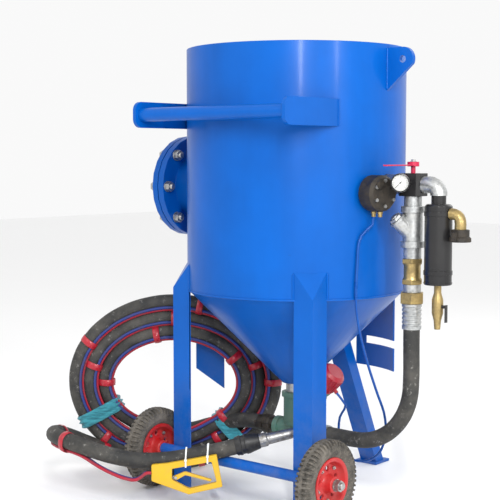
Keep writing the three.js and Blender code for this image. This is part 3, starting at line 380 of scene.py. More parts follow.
# ---- Red tape on the hose --------------------------------------------------------------------
# Bands of red tape, 22 mm wide, bind the control lines to the hose every fifth of a turn or so
# and three times along the last run.
tape = Finish("red_tape", Coat_Weight=0.15)
scuff = tape.step(tape.speckle(60, 5, 0.7), 0.5, 0.75)
tape.set(Base_Color=tape.blend(scuff * 0.5, colour(0.40, 0.008, 0.022), colour(0.14, 0.03, 0.035)),
         Roughness=0.32 + scuff * 0.3)
tape.bump(tape.speckle(120, 3), 0.4, 0.0008)
TAPE_WIDTH = 0.022
TAPE_RADIUS = 0.026
TAPE_SIDES = 28
COIL_LIE, RUN_LIE = 44, 180  # degrees round the hose, midway between the two lines
banded = [lead_points + k for k in range(3, coil_points - 1, 5)] + [run_start + k for k in (1, 4, 7)]
tape_bands = bmesh.new()
for index in banded:
    heading = (hose_points[index + 1] - hose_points[index - 1]).normalized()
    share = min(1.0, max(0, index - run_start + 1) / LINE_TURN_POINTS)
    lie = COIL_LIE + (RUN_LIE - COIL_LIE) * share
    toward = (beside_hose(index, lie) - hose_points[index]).normalized()
    across = heading.cross(toward)
    loop = []
    for i in range(TAPE_SIDES):
        angle = 2 * math.pi * i / TAPE_SIDES
        out = HOSE / 2 + 0.0012 + (LINE + 0.0006) * max(0.0, math.cos(angle)) ** 1.6
        loop.append((toward * math.cos(angle) + across * math.sin(angle)) * out)
    rings = []
    for along_hose, swell in [(-0.5, 0), (-0.46, 0.0009), (0, 0.0013), (0.46, 0.0009), (0.5, 0)]:
        slide = heading * along_hose * TAPE_WIDTH
        rings.append([tape_bands.verts.new(hose_points[index] + p * (1 + swell / TAPE_RADIUS) + slide)
                      for p in loop])
    for low, high in zip(rings, rings[1:]):
        for i in range(TAPE_SIDES):
            j = (i + 1) % TAPE_SIDES
            tape_bands.faces.new((low[i], low[j], high[j], high[i]))
tape_bands = finished("tape_bands", tape_bands, tape, "pot", smooth_below=60)

# ---- Cloth ties round the coil ---------------------------------------------------------------
# Two strips of teal cloth hold the turns together low on the left and low on the right.
tie_cloth = Finish("tie_cloth", Sheen_Weight=0.3)
# One noise gives the folds' bump and darkens the cloth in their hollows: painted shade in the creases.
folds_and_crease_shade = tie_cloth.speckle(28, 5, 0.6, at=tie_cloth.stretched(1, 1, 5))
tie_cloth.set(Base_Color=tie_cloth.blend(tie_cloth.step(folds_and_crease_shade, 0.35, 0.7), colour(0.012, 0.13, 0.17),
                                         colour(0.045, 0.33, 0.40)), Roughness=0.85)
tie_cloth.bump(folds_and_crease_shade + tie_cloth.speckle(500, 2) * 0.3, 0.6, 0.002)
ties = bmesh.new()
TIE_WIDTH = 0.046
TIE_SIDES = 40
TIE_REACH, TIE_DEPTH = 0.080, 0.046  # half sizes: across the three turns, and front to back
TIE_MIDDLE = 0.211  # the ties' middle along the coil's depth
for degrees in (62, 318):
    angle = math.radians(degrees)
    out = Vector((-math.sin(angle), -math.cos(angle)))
    middle = COIL_MIDDLE + Vector((out.x * (COIL_INNER.x + COIL_PITCH), out.y * (COIL_INNER.y + COIL_PITCH)))
    tangent = Vector((-out.y, out.x))
    rows = []
    for k in range(9):
        share = k / 8 - 0.5
        pinch = 1 + 0.05 * math.cos(2 * math.pi * share * 3)
        row = []
        for i in range(TIE_SIDES):
            a = 2 * math.pi * i / TIE_SIDES
            radial = TIE_REACH * math.copysign(abs(math.cos(a)) ** 0.55, math.cos(a)) * pinch
            behind = TIE_DEPTH * math.copysign(abs(math.sin(a)) ** 0.6, math.sin(a)) * pinch
            wrinkle = 0.003 * noise(Vector((radial * 40, behind * 40, share * 9 + degrees)))
            flat = middle + out * (radial + wrinkle) + tangent * (share * TIE_WIDTH)
            row.append(ties.verts.new(laid(flat.x, TIE_MIDDLE + behind + wrinkle, max(flat.y, 0.002))))
        rows.append(row)
    for low, high in zip(rows, rows[1:]):
        for i in range(TIE_SIDES):
            j = (i + 1) % TIE_SIDES
            ties.faces.new((low[i], low[j], high[j], high[i]))
ties = finished("cloth_ties", ties, tie_cloth, "pot", smooth_below=80)

# ---- Nozzle and its holder -------------------------------------------------------------------
# A black moulded holder clamps the hose's end, with two raised bands; the nozzle is a steel
# jacketed liner screwed into it, with a flange and a worn, dusty muzzle.
black_mould = Finish("black_mould")
wear = black_mould.step(black_mould.speckle(45, 5, 0.7), 0.55, 0.75)
black_mould.set(Base_Color=black_mould.blend(wear * 0.5, colour(0.012, 0.012, 0.013),
                                             colour(0.09, 0.085, 0.08)),
                Roughness=0.42 + wear * 0.3)
black_mould.bump(black_mould.speckle(300, 3), 0.25, 0.0005)
nozzle_lift = math.atan2(15, 63)
nozzle_axis = laid(math.cos(nozzle_lift), 0, math.sin(nozzle_lift)) - laid(0, 0, 0)
hose_end = hose_points[-1]
holder = turned(bmesh.new(), [
    (0.016, 0.0003), (0.027, 0.0003), (0.0295, 0.004), (0.0295, 0.010), (0.031, 0.012), (0.031, 0.018),
    (0.029, 0.020), (0.029, 0.030), (0.031, 0.032), (0.031, 0.040), (0.0295, 0.046), (0.0245, 0.072),
    (0.023, 0.076), (0.016, 0.076),
], hose_end, nozzle_axis)
holder = finished("hose_end_holder", holder, black_mould, "pot")
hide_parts("nozzle_holder")
bright = Finish("worn_steel", Metallic=0.9)
stain = bright.step(bright.speckle(55, 6, 0.7), 0.45, 0.7)
bright.set(Base_Color=bright.blend(stain, colour(0.36, 0.36, 0.36), colour(0.15, 0.13, 0.11)),
           Roughness=0.32 + stain * 0.3)
bright.bump(bright.speckle(400, 2), 0.15, 0.0004)


def dressed(node, finish, rounding=0.0008, smooth_below=SMOOTH_BELOW):
    """Gives a solid of the frame its finish, smooth round faces and rounded edges."""
    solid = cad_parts[node]
    bpy.context.view_layer.objects.active = solid
    bpy.ops.mesh.customdata_custom_splitnormals_clear()
    solid.data.shade_smooth()
    weld = solid.modifiers.new("weld", "WELD")
    weld.merge_threshold = 0.00001
    bevel = solid.modifiers.new("rounding", "BEVEL")
    bevel.width = rounding
    bevel.segments = 2
    bevel.limit_method = "ANGLE"
    bevel.angle_limit = math.radians(smooth_below)
    bevel.harden_normals = True
    solid.data.materials.clear()
    solid.data.materials.append(finish.material)
    return solid


nozzle = dressed("nozzle", bright)

route_length(hose_points)

# ---- Connectors on the control lines' parked ends --------------------------------------------
# Each line ends in a small brass push-in connector, taped to the hose by the coil's inner turn.
dull_brass = Finish("dull_brass", Metallic=0.85)
tarnish = dull_brass.step(dull_brass.speckle(30, 6, 0.7), 0.40, 0.72)
dull_brass.set(Base_Color=dull_brass.blend(tarnish, colour(0.46, 0.34, 0.14), colour(0.20, 0.15, 0.075)),
               Roughness=0.30 + tarnish * 0.35)
dull_brass.bump(dull_brass.speckle(220, 3), 0.25, 0.0005)
for line_name, line in control_lines.items():
    knots = line_knots[line_name]
    way = (knots[-1] - knots[-2]).normalized()
    end = bmesh.new()
    turned(end, [(0, -0.004), (0.0062, -0.004), (0.0066, 0.002), (0.0066, 0.010), (0.0050, 0.013),
                 (0.0050, 0.024), (0.003, 0.026), (0, 0.026)], knots[-1], way, sides=24)
    hexagon(knots[-1] + way * 0.010, way, 0.012, 0.006, end)
    end = finished(line_name + "_end", end, dull_brass, "pot")
    route_length(knots)

# ---- Blue enamel: tank, frame and legs -------------------------------------------------------
# Welded steel plate sprayed with a bright gloss enamel: slight orange peel, faint runs and
# clouding, rubbed specks, and a film of grit that thickens towards the floor.
def enamel(name, fresh, faded, chip, gloss=0.26, grit=0.30, shine=0.40):
    """A sprayed enamel with clouding, fine chips and grit near the floor."""
    paint = Finish(name, Coat_Roughness=0.14, Specular_IOR_Level=shine)
    clouds = paint.step(paint.speckle(3.2, 4, 0.6), 0.35, 0.70)
    runs = paint.step(paint.speckle(14, 4, 0.6, at=paint.stretched(1, 1, 0.12)), 0.45, 0.80)
    chips = paint.speckle(75, 6, 0.75) > 0.69
    scratches = paint.speckle(60, 3, 0.5, at=paint.stretched(1, 1, 9)) > 0.715
    low = 1.0 - paint.step(paint.height(), 0.02, 0.42)
    film = low * paint.step(paint.speckle(18, 6, 0.7), 0.40, 0.70) * grit
    shade = paint.blend(clouds * 0.55 + runs * 0.25, fresh, faded)
    shade = paint.blend(chips * 0.6, shade, chip)
    shade = paint.blend(scratches * 0.35, shade, faded)
    shade = paint.blend(film, shade, colour(0.23, 0.20, 0.16))
    paint.set(Base_Color=shade, Roughness=gloss + clouds * 0.10 + film * 0.8 + chips * 0.25,
              Coat_Weight=0.10 - film * 0.2)
    paint.bump(paint.speckle(150, 2) * 0.5 + paint.speckle(9, 3) * 0.8 - chips * 0.25, 0.10, 0.002)
    return paint


blue_enamel = enamel("blue_enamel", colour(0.0001, 0.094, 0.425), colour(0.0003, 0.060, 0.280),
                     colour(0.02, 0.06, 0.16), gloss=0.30, shine=0.14)
for node in ("tank_shell", "top_head", "manway_neck", "manway_cover", "lifting_lug_right", "lifting_lug_left",
             "push_handle", "front_leg_right", "front_leg_left", "rear_leg", "skirt_plate_rear", "hose_rest",
             "axle"):
    dressed(node, blue_enamel, rounding=0.0014)

# ---- Weld beads ------------------------------------------------------------------------------
# Hand welded seams, painted over: the cone to the barrel, the head inside the rim, the manway
# neck, the lugs, the handle's ears and the legs. Each bead ripples every few millimetres.
TANK = 0.350
JOINT = 0.648
HEAD_JOINT = 1.364
RIPPLE = 0.005
SEAM = 0.007  # a bead's width
PROUD = 0.001  # how far a bead's middle stands off the wall
BEAD_SIDES = 6


def bead(shape, route, thick, closed):
    """Adds a rippled weld bead along a route to a bmesh."""
    rings = []
    count = len(route)
    for i, point in enumerate(route):
        after = route[(i + 1) % count] if closed else route[min(i + 1, count - 1)]
        before = route[i - 1] if closed or i else route[0]
        heading = (after - before).normalized()
        if i == 0:
            side = heading.orthogonal()
        else:
            side = (last_side - heading * last_side.dot(heading)).normalized()
        side.normalize()
        last_side = side
        across = heading.cross(side)
        radius = thick / 2 * (0.90 + 0.14 * (i % 2) + 0.10 * noise(point * 60))
        rings.append([shape.verts.new(point + (side * math.cos(a) + across * math.sin(a)) * radius)
                      for a in (math.pi * k / 3 for k in range(BEAD_SIDES))])
    for i in range(count if closed else count - 1):
        low, high = rings[i], rings[(i + 1) % count]
        for k in range(BEAD_SIDES):
            n = (k + 1) % BEAD_SIDES
            shape.faces.new((low[k], low[n], high[n], high[k]))
    if not closed:
        shape.faces.new(rings[0][::-1])
        shape.faces.new(rings[-1])


def straight(start, end):
    """Points along a straight seam, one ripple apart, from two places about the tank's axis."""
    start, end = Vector(start) + ORIGIN, Vector(end) + ORIGIN
    steps = max(2, int((end - start).length / RIPPLE))
    return [start.lerp(end, i / steps) for i in range(steps + 1)]


def circle(radius, height):
    steps = int(2 * math.pi * radius / RIPPLE / 2) * 2
    return [Vector((radius * math.cos(2 * math.pi * i / steps), radius * math.sin(2 * math.pi * i / steps),
                    height)) + ORIGIN for i in range(steps)]


welds = bmesh.new()
bead(welds, circle(TANK - 0.0005, JOINT), 0.008, True)
bead(welds, circle(TANK - 0.0075, HEAD_JOINT), SEAM, True)
NECK, MANWAY_HEIGHT = 0.1095, 0.972
saddle_steps = 136
saddle = []
for i in range(saddle_steps):
    angle = 2 * math.pi * i / saddle_steps
    y = (NECK + PROUD) * math.sin(angle)
    height = MANWAY_HEIGHT + (NECK + PROUD) * math.cos(angle)
    saddle.append(Vector((-math.sqrt(TANK ** 2 - y ** 2), y, height)) + ORIGIN)
bead(welds, saddle, 0.009, True)
for side in (-1, 1):
    for edge in (-0.0075, 0.0075):
        reach = side * (TANK + PROUD)
        bead(welds, straight((reach, edge, 1.275), (reach, edge, 1.396)), SEAM, False)
    for ear in (0.2865, 0.2995):
        reach = -math.sqrt(TANK ** 2 - ear ** 2) - PROUD
        bead(welds, straight((side * ear, reach, 1.163), (side * ear, reach, 1.239)), SEAM, False)
    for near, far in ((0.2810, 0.2085), (0.2085, 0.2810)):
        bead(welds, straight((side * near, -far, JOINT), (side * near, -far, 0.726)), SEAM, False)
finished("weld_beads", welds, blue_enamel, "pot", smooth_below=70)

# ---- Manway bolts ----------------------------------------------------------------------------
# Eight M20 bolts with washers and nuts clamp the blind cover; zinc plated and a little rusty.
zinc = Finish("zinc_plate", Metallic=0.9)
rust = zinc.step(zinc.speckle(90, 6, 0.75), 0.56, 0.70)
zinc.set(Base_Color=zinc.blend(rust * 0.7, colour(0.42, 0.42, 0.41), colour(0.20, 0.11, 0.06)),
         Roughness=0.34 + rust * 0.4)
zinc.bump(zinc.speckle(350, 3), 0.2, 0.0004)
COVER_FACE, FLANGE_BACK = -0.480, -0.4304
BOLT_CIRCLE = 0.1475  # radius
BOLT_FLATS = 0.030
WASHER = 0.003
washer = [(0, 0), (0.0185, 0), (0.0185, WASHER), (0, WASHER)]
shank = [(0, -0.06), (0.0098, -0.06), (0.0098, 0.024), (0.0085, 0.027), (0, 0.027)]
manway_bolts = bmesh.new()
for i in range(8):
    angle = math.pi * i / 4
    height = MANWAY_HEIGHT + BOLT_CIRCLE * math.cos(angle)
    middle = Vector((0, BOLT_CIRCLE * math.sin(angle), height)) + ORIGIN
    face = middle + Vector((COVER_FACE, 0, 0))
    back = middle + Vector((FLANGE_BACK, 0, 0))
    turned(manway_bolts, washer, face, (-1, 0, 0), 20)
    hexagon(face - Vector((WASHER, 0, 0)), (-1, 0, 0), BOLT_FLATS, 0.0125, manway_bolts)
    turned(manway_bolts, washer, back, (1, 0, 0), 20)
    hexagon(back + Vector((WASHER, 0, 0)), (1, 0, 0), BOLT_FLATS, 0.016, manway_bolts)
    turned(manway_bolts, shank, back, (1, 0, 0), 16)
finished("manway_bolts", manway_bolts, zinc, "pot", rounding=0.0008)

# ---- Inside the tank: seat, pop-up valve and inlet pipe --------------------------------------
# The port's seat and the manway's gasket are moulded black rubber; the pop-up valve is a cone
# of cast alloy that rides in the steel inlet pipe.
seal_rubber = Finish("seal_rubber", Specular_IOR_Level=0.3)
bloom = seal_rubber.step(seal_rubber.speckle(35, 5, 0.7), 0.45, 0.7)
seal_rubber.set(Base_Color=seal_rubber.blend(bloom * 0.5, colour(0.012, 0.012, 0.012),
                                             colour(0.05, 0.048, 0.045)),
                Roughness=0.6 + bloom * 0.2)
seal_rubber.bump(seal_rubber.speckle(300, 2), 0.2, 0.0004)
dressed("seat_ring", seal_rubber)
dressed("manway_gasket", seal_rubber, rounding=0.0004)
dressed("popup_valve", dull_brass, rounding=0.001)
dressed("inlet_pipe", bright, rounding=0.0005)

# ---- Tyres -----------------------------------------------------------------------------------
# Solid rubber tyres, grey brown with yard dust. Straight lugs stand across each shoulder, left
# and right rows staggered, with a plain centre rib and one raised ring on each sidewall.
tyre_rubber = Finish("tyre_rubber", Specular_IOR_Level=0.3)
caked = tyre_rubber.step(tyre_rubber.speckle(22, 6, 0.7), 0.36, 0.66)
grains = tyre_rubber.step(tyre_rubber.speckle(190, 3, 0.7), 0.5, 0.7)
tread = tyre_rubber.blend(caked, colour(0.040, 0.038, 0.034), colour(0.155, 0.140, 0.120))
tread = tyre_rubber.blend(grains * 0.4, tread, colour(0.26, 0.22, 0.18))
tyre_rubber.set(Base_Color=tread, Roughness=0.82 + caked * 0.12)
tyre_rubber.bump(tyre_rubber.speckle(140, 5, 0.7), 0.5, 0.0012)
WHEEL, SECTION = 0.128, 0.050
LUGS = 54


def tread_outline(lug_left, lug_right):
    """The tyre's section, as (radius, across) pairs; each shoulder is high on a lug."""
    inner = WHEEL - SECTION
    left, right = 0.0065 * (1 - lug_left), 0.0065 * (1 - lug_right)
    return [
        (inner, -0.0195), (inner + 0.006, -0.0235), (inner + 0.013, -0.0262), (inner + 0.015, -0.0274),
        (inner + 0.020, -0.0274), (inner + 0.022, -0.0262), (inner + 0.030, -0.0255),
        (WHEEL - 0.0135 - left * 0.5, -0.0252 + left * 0.3), (WHEEL - 0.0065 - left, -0.0222 + left * 0.4),
        (WHEEL - 0.001 - left, -0.0160), (WHEEL - left, -0.0070), (WHEEL - 0.0004, -0.0052),
        (WHEEL, 0.0), (WHEEL - 0.0004, 0.0052), (WHEEL - right, 0.0070), (WHEEL - 0.001 - right, 0.0160),
        (WHEEL - 0.0065 - right, 0.0222 - right * 0.4), (WHEEL - 0.0135 - right * 0.5, 0.0252 - right * 0.3),
        (inner + 0.030, 0.0255), (inner + 0.022, 0.0262), (inner + 0.020, 0.0274), (inner + 0.015, 0.0274),
        (inner + 0.013, 0.0262), (inner + 0.006, 0.0235), (inner, 0.0195),
    ]


def tyre(middle):
    """A lugged tyre about an axle along X; the lowest lug stands on the floor."""
    shape = bmesh.new()
    rings = []
    pattern = (0.0, 0.06, 0.44, 0.5, 0.56, 0.94)
    for lug in range(LUGS):
        for share in pattern:
            angle = 2 * math.pi * (lug + share - 0.25) / LUGS - math.pi / 2
            left = 1.0 if 0.0 <= share <= 0.5 else 0.0
            right = 1.0 - left
            across = tread_outline(left, right)
            rings.append([shape.verts.new(middle + Vector((x, r * math.cos(angle), r * math.sin(angle))))
                          for r, x in across])
    for low, high in zip(rings, rings[1:] + rings[:1]):
        for k in range(len(low)):
            n = (k + 1) % len(low)
            shape.faces.new((low[k], high[k], high[n], low[n]))
    return shape


# ---- Rims, hubs and axle nuts ----------------------------------------------------------------
# Pressed steel rims in red enamel: a deep dish with five holes round a turned hub, a rolled
# lip, and five studs that hold the two halves together.
red_enamel = enamel("red_enamel", colour(0.50, 0.012, 0.014), colour(0.38, 0.012, 0.014),
                    colour(0.10, 0.02, 0.02), gloss=0.30, grit=0.22)
RIM = WHEEL - SECTION - 0.0003
STUD_CIRCLE = 0.050  # radius
AXLE_END = 0.3990


def rim(name, middle, body):
    """A dished rim with its five holes cut by a boolean, as one mesh."""
    shape = turned(bmesh.new(), [
        (0.0103, -0.034), (0.020, -0.034), (0.024, -0.031), (0.0245, -0.016), (0.030, -0.007),
        (0.042, -0.0035), (0.056, -0.005), (0.063, -0.012), (0.066, -0.021), (0.070, -0.023), (RIM, -0.023), (RIM, 0.023),
        (0.070, 0.023), (0.066, 0.021), (0.063, 0.012), (0.056, 0.003), (0.042, 0.0035), (0.030, 0.007),
        (0.0245, 0.016), (0.024, 0.031), (0.020, 0.034), (0.0103, 0.034),
    ], middle, (1, 0, 0), 80)
    holes = bmesh.new()
    for i in range(5):
        angle = 2 * math.pi * i / 5
        place = middle + Vector((-0.03, 0.044 * math.sin(angle), 0.044 * math.cos(angle)))
        turned(holes, [(0, 0), (0.0085, 0), (0.0085, 0.06), (0, 0.06)], place, (1, 0, 0), 20)
    rough = finished(name, shape, red_enamel, body)
    cutter = finished(name + "_holes", holes, red_enamel, body)
    cutting = rough.modifiers.new("holes", "BOOLEAN")
    cutting.operation = "DIFFERENCE"
    cutting.object = cutter
    rounded = rough.modifiers.new("rounding", "BEVEL")
    rounded.width = 0.0008
    rounded.segments = 2
    rounded.limit_method = "ANGLE"
    rounded.angle_limit = math.radians(SMOOTH_BELOW)
    view = bpy.context.evaluated_depsgraph_get()
    done = bpy.data.meshes.new_from_object(rough.evaluated_get(view))
    rough.modifiers.clear()
    rough.data = done
    done.shade_smooth()
    done.set_sharp_from_angle(angle=math.radians(SMOOTH_BELOW))
    bpy.data.objects.remove(cutter)
    return rough


for side, body in (("left", "wheel_l"), ("right", "wheel_r")):
    low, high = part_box("wheel_tyre_" + side)
    middle = (low + high) / 2
    middle.z = WHEEL
    rubber_tyre = finished("lugged_tyre_" + side, tyre(middle), tyre_rubber, body,
                           smooth_below=28)
    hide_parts("wheel_tyre_" + side)
    red_rim = rim("dished_rim_" + side, middle, body)
    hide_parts("wheel_rim_" + side)
    studs = bmesh.new()
    for i in range(5):
        angle = 2 * math.pi * (i + 0.5) / 5
        place = middle + Vector((0, STUD_CIRCLE * math.sin(angle), STUD_CIRCLE * math.cos(angle)))
        for way in (-1, 1):
            hexagon(place + Vector((way * 0.0028, 0, 0)), (way, 0, 0), 0.010, 0.0055, studs)
            turned(studs, [(0, 0.0), (0.003, 0.0), (0.003, 0.012), (0, 0.012)], place, (way, 0, 0), 12)
    finished("rim_studs_" + side, studs, zinc, body, rounding=0.0004)
    dressed("axle_nut_" + side, zinc)
    outward = -1 if side == "left" else 1
    place = Vector((outward * AXLE_END, 0, 0)) + Vector((ORIGIN.x, middle.y, WHEEL))
    end_cap = turned(bmesh.new(), [(0, 0), (0.0112, 0), (0.0112, 0.0055), (0.0075, 0.0085), (0, 0.009)],
                     place, (outward, 0, 0), 24)
    finished("axle_end_cap_" + side, end_cap, zinc, "pot")

# ---- Metering valve and mixing tee -----------------------------------------------------------
# Cast iron bodies in grey green paint, bolted at the bonnet's flange; the air cap is moulded in
# red with grip ribs, and the short pipe above is galvanised.
green_paint = enamel("green_casting", colour(0.055, 0.150, 0.115), colour(0.095, 0.185, 0.150),
                     colour(0.05, 0.045, 0.04), gloss=0.42, grit=0.5)
green_paint.bump(green_paint.speckle(120, 5, 0.7), 0.5, 0.0015)
for node in ("metering_body", "metering_bonnet", "mixing_tee"):
    dressed(node, green_paint, rounding=0.0016)
galvanised = Finish("galvanised", Metallic=0.85)
spangle = galvanised.node("ShaderNodeTexVoronoi", {"feature": "F1"},
                          {"Vector": galvanised.place(), "Scale": 110})
white_bloom = galvanised.step(galvanised.speckle(26, 6, 0.7), 0.48, 0.72)
zinc_grey = galvanised.blend(spangle, colour(0.30, 0.31, 0.31), colour(0.52, 0.53, 0.53))
galvanised.set(Base_Color=galvanised.blend(white_bloom * 0.7, zinc_grey, colour(0.50, 0.49, 0.46)),
               Roughness=0.34 + white_bloom * 0.35 + spangle * 0.08)
galvanised.bump(galvanised.speckle(160, 4) + spangle * 0.2, 0.25, 0.0006)
dressed("outlet_nipple", galvanised)
dressed("metering_plunger", bright)
red_mould = Finish("red_mould", Coat_Weight=0.2)
scuffed = red_mould.step(red_mould.speckle(40, 6, 0.7), 0.5, 0.75)
red_mould.set(Base_Color=red_mould.blend(scuffed * 0.5, colour(0.33, 0.006, 0.020), colour(0.20, 0.03, 0.04)),
              Roughness=0.36 + scuffed * 0.3)
red_mould.bump(red_mould.speckle(260, 2), 0.15, 0.0004)
dressed("actuator_cap", red_mould, rounding=0.0018)
BRANCH_START = Vector((0, 0, 0.2324)) + ORIGIN
BRANCH = Vector((1, 0, 1)).normalized()
BRANCH_SIDE = Vector((0, 1, 0))
BRANCH_UP = BRANCH.cross(BRANCH_SIDE)
BONNET_FACE, CAP_FACE = 0.1223, 0.166  # how far out along the branch


def off_branch(reach, radius, angle):
    """A place along the metering branch, off its axis by a radius at an angle."""
    out = BRANCH_SIDE * math.cos(angle) + BRANCH_UP * math.sin(angle)
    return BRANCH_START + BRANCH * reach + out * radius


cap_ribs = bmesh.new()
for i in range(24):
    angle = 2 * math.pi * (i + 0.5) / 24
    corners = [off_branch(CAP_FACE, 0.0395, angle - 0.035), off_branch(CAP_FACE, 0.0418, angle - 0.022),
               off_branch(CAP_FACE, 0.0418, angle + 0.022), off_branch(CAP_FACE, 0.0395, angle + 0.035)]
    prism(cap_ribs, corners, BRANCH * 0.050)
finished("cap_ribs", cap_ribs, red_mould, "pot", rounding=0.0004)
bonnet_bolts = bmesh.new()
for i in range(4):
    angle = math.pi * (i + 0.5) / 2
    place = off_branch(BONNET_FACE, 0.034, angle)
    hexagon(place, BRANCH, 0.010, 0.006, bonnet_bolts)
    turned(bonnet_bolts, [(0, 0.0), (0.0028, 0.0), (0.0028, 0.010), (0, 0.010)], place, BRANCH, 12)
finished("bonnet_bolts", bonnet_bolts, zinc, "pot", rounding=0.0004)

# ---- Claw couplings --------------------------------------------------------------------------
# Malleable iron claw couplings, dark and oily, with a black lip seal between the two halves.
cast_iron = Finish("cast_iron", Metallic=0.25)
mill_scale = cast_iron.step(cast_iron.speckle(34, 6, 0.7), 0.42, 0.70)
cast_iron.set(Base_Color=cast_iron.blend(mill_scale, colour(0.017, 0.014, 0.011),
                                         colour(0.052, 0.041, 0.029)),
              Roughness=0.50 + mill_scale * 0.3)
cast_iron.bump(cast_iron.speckle(130, 5, 0.7), 0.55, 0.0012)
for node in ("outlet_coupling", "hose_coupling", "inlet_coupling"):
    dressed(node, cast_iron, rounding=0.0016)

# ---- Air hose from the piping to the tee -----------------------------------------------------
# A stiff 50 mm rubber hose with a cloth marked cover; each end is held in a galvanised
# ferrule that is pressed on in rings.
COLUMN = 0.442
TEE_HEIGHT = 0.186
BEND = 0.200
AIR_HOSE = 0.050
ferrule_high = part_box("hose_ferrule_upper")[1]
bend_middle = (COLUMN - BEND, TEE_HEIGHT + BEND)
air_route = [(COLUMN, ferrule_high.z - 0.0123), (COLUMN, ferrule_high.z - 0.06),
             (COLUMN, (ferrule_high.z + bend_middle[1]) / 2)]
for i in range(9):
    angle = math.pi / 2 * i / 8
    air_route.append((bend_middle[0] + BEND * math.cos(angle), bend_middle[1] - BEND * math.sin(angle)))
air_route += [(0.16, TEE_HEIGHT), (0.0876, TEE_HEIGHT)]
air_points = [Vector((x, 0, z)) + ORIGIN for x, z in air_route]
air_hose = hose_curve("ribbed_air_hose", air_points, AIR_HOSE, hose_rubber)
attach(air_hose, "pot")
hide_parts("air_hose")


def crimped(length, place, axis):
    """A pressed ferrule: a tube with a collar and five squeezed rings."""
    outline = [(0.020, 0), (0.0285, 0), (0.030, 0.0015), (0.030, 0.009)]
    rings = 5
    start, step = 0.012, (length - 0.016) / rings
    for i in range(rings):
        low = start + i * step
        outline += [(0.0272, low), (0.0272, low + step * 0.25), (0.0292, low + step * 0.45),
                    (0.0292, low + step * 0.85)]
    outline += [(0.0285, length), (0.0253, length), (0.0253, 0.012), (0.020, 0.012)]
    return turned(bmesh.new(), outline, place, axis, 56)


ferrule_upper = crimped(0.078, Vector((COLUMN, 0, ferrule_high.z)) + ORIGIN, (0, 0, -1))
ferrule_upper = finished("ferrule_upper", ferrule_upper, galvanised, "pot")
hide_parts("hose_ferrule_upper")
ferrule_lower = crimped(0.062, Vector((0.0753, 0, TEE_HEIGHT)) + ORIGIN, (1, 0, 0))
ferrule_lower = finished("ferrule_lower", ferrule_lower, galvanised, "pot")
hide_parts("hose_ferrule_lower")

# ---- Piping column ---------------------------------------------------------------------------
# From the top: a black valve block with a red lever, a galvanised strainer with its angled
# cleaning branch, a brass check valve, and the hose nut.
black_enamel = enamel("black_enamel", colour(0.010, 0.010, 0.011), colour(0.022, 0.021, 0.021),
                      colour(0.16, 0.15, 0.14), gloss=0.24, grit=0.3)
lever_red = enamel("lever_red", colour(0.52, 0.014, 0.060), colour(0.40, 0.012, 0.050),
                   colour(0.24, 0.22, 0.22))
dressed("inlet_valve", black_enamel, rounding=0.002)
dressed("inlet_lever", lever_red, rounding=0.001)
dressed("strainer_body", galvanised, rounding=0.0015)
dressed("check_valve", dull_brass, rounding=0.001)
dressed("hose_nipple", galvanised)
dressed("hose_nut", dull_brass, rounding=0.0015)
column_hexes = bmesh.new()
check_low, check_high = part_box("check_valve")
HEX_FLATS, HEX_THICK = 0.0575, 0.013
for height in (check_low.z + 0.001, check_high.z - 0.014):
    hexagon(Vector((COLUMN, 0, height)) + ORIGIN, (0, 0, 1), HEX_FLATS, HEX_THICK, column_hexes)
finished("check_valve_hexes", column_hexes, dull_brass, "pot", rounding=0.0015)
strainer_plug = bmesh.new()
plug_axis = Vector((-0.42, -0.57, 0.70)).normalized()
plug_place = Vector((COLUMN, 0, 0.835)) + ORIGIN + plug_axis * 0.0733
hexagon(plug_place, plug_axis, 0.036, 0.009, strainer_plug)
turned(strainer_plug, [(0, 0.009), (0.013, 0.009), (0.012, 0.012), (0, 0.013)], plug_place, plug_axis, 24)
finished("strainer_plug", strainer_plug, galvanised, "pot", rounding=0.0012)
lever_bolt = bmesh.new()
lever_top = Vector((COLUMN, 0, 1.0572)) + ORIGIN
hexagon(lever_top, (0, 0, 1), 0.013, 0.007, lever_bolt)
turned(lever_bolt, [(0, 0), (0.010, 0), (0.010, 0.0012), (0, 0.0012)], lever_top, sides=20)
finished("lever_bolt", lever_bolt, zinc, "inlet_handle", rounding=0.0004)

# ---- Moisture separator ----------------------------------------------------------------------
# A black cylinder that takes the water out of the air: galvanised elbow on top, brass inlet
# elbow at its side, and a brass drain cock with a black lever below. Black bands ring it.
dressed("separator_elbow", galvanised)
dressed("separator_bowl", black_enamel, rounding=0.0015)
dressed("drain_cock", dull_brass, rounding=0.001)
dressed("drain_lever", black_enamel, rounding=0.0006)
dressed("inlet_elbow", dull_brass)
SEPARATOR = Vector((0.531, 0, 0)) + ORIGIN
bowl_bands = bmesh.new()
for height in (0.724, 0.898):
    place = SEPARATOR + Vector((0, 0, height))
    turned(bowl_bands, [(0.0412, 0), (0.0428, 0.0006), (0.0428, 0.0134), (0.0412, 0.014)], place, sides=56)
turned(bowl_bands, [(0.0412, 0), (0.0422, 0.0006), (0.0422, 0.0046), (0.0412, 0.005)],
       SEPARATOR + Vector((0, 0, 0.690 + 0.008)), sides=56)
finished("bowl_bands", bowl_bands, black_enamel, "pot", rounding=0.0003)

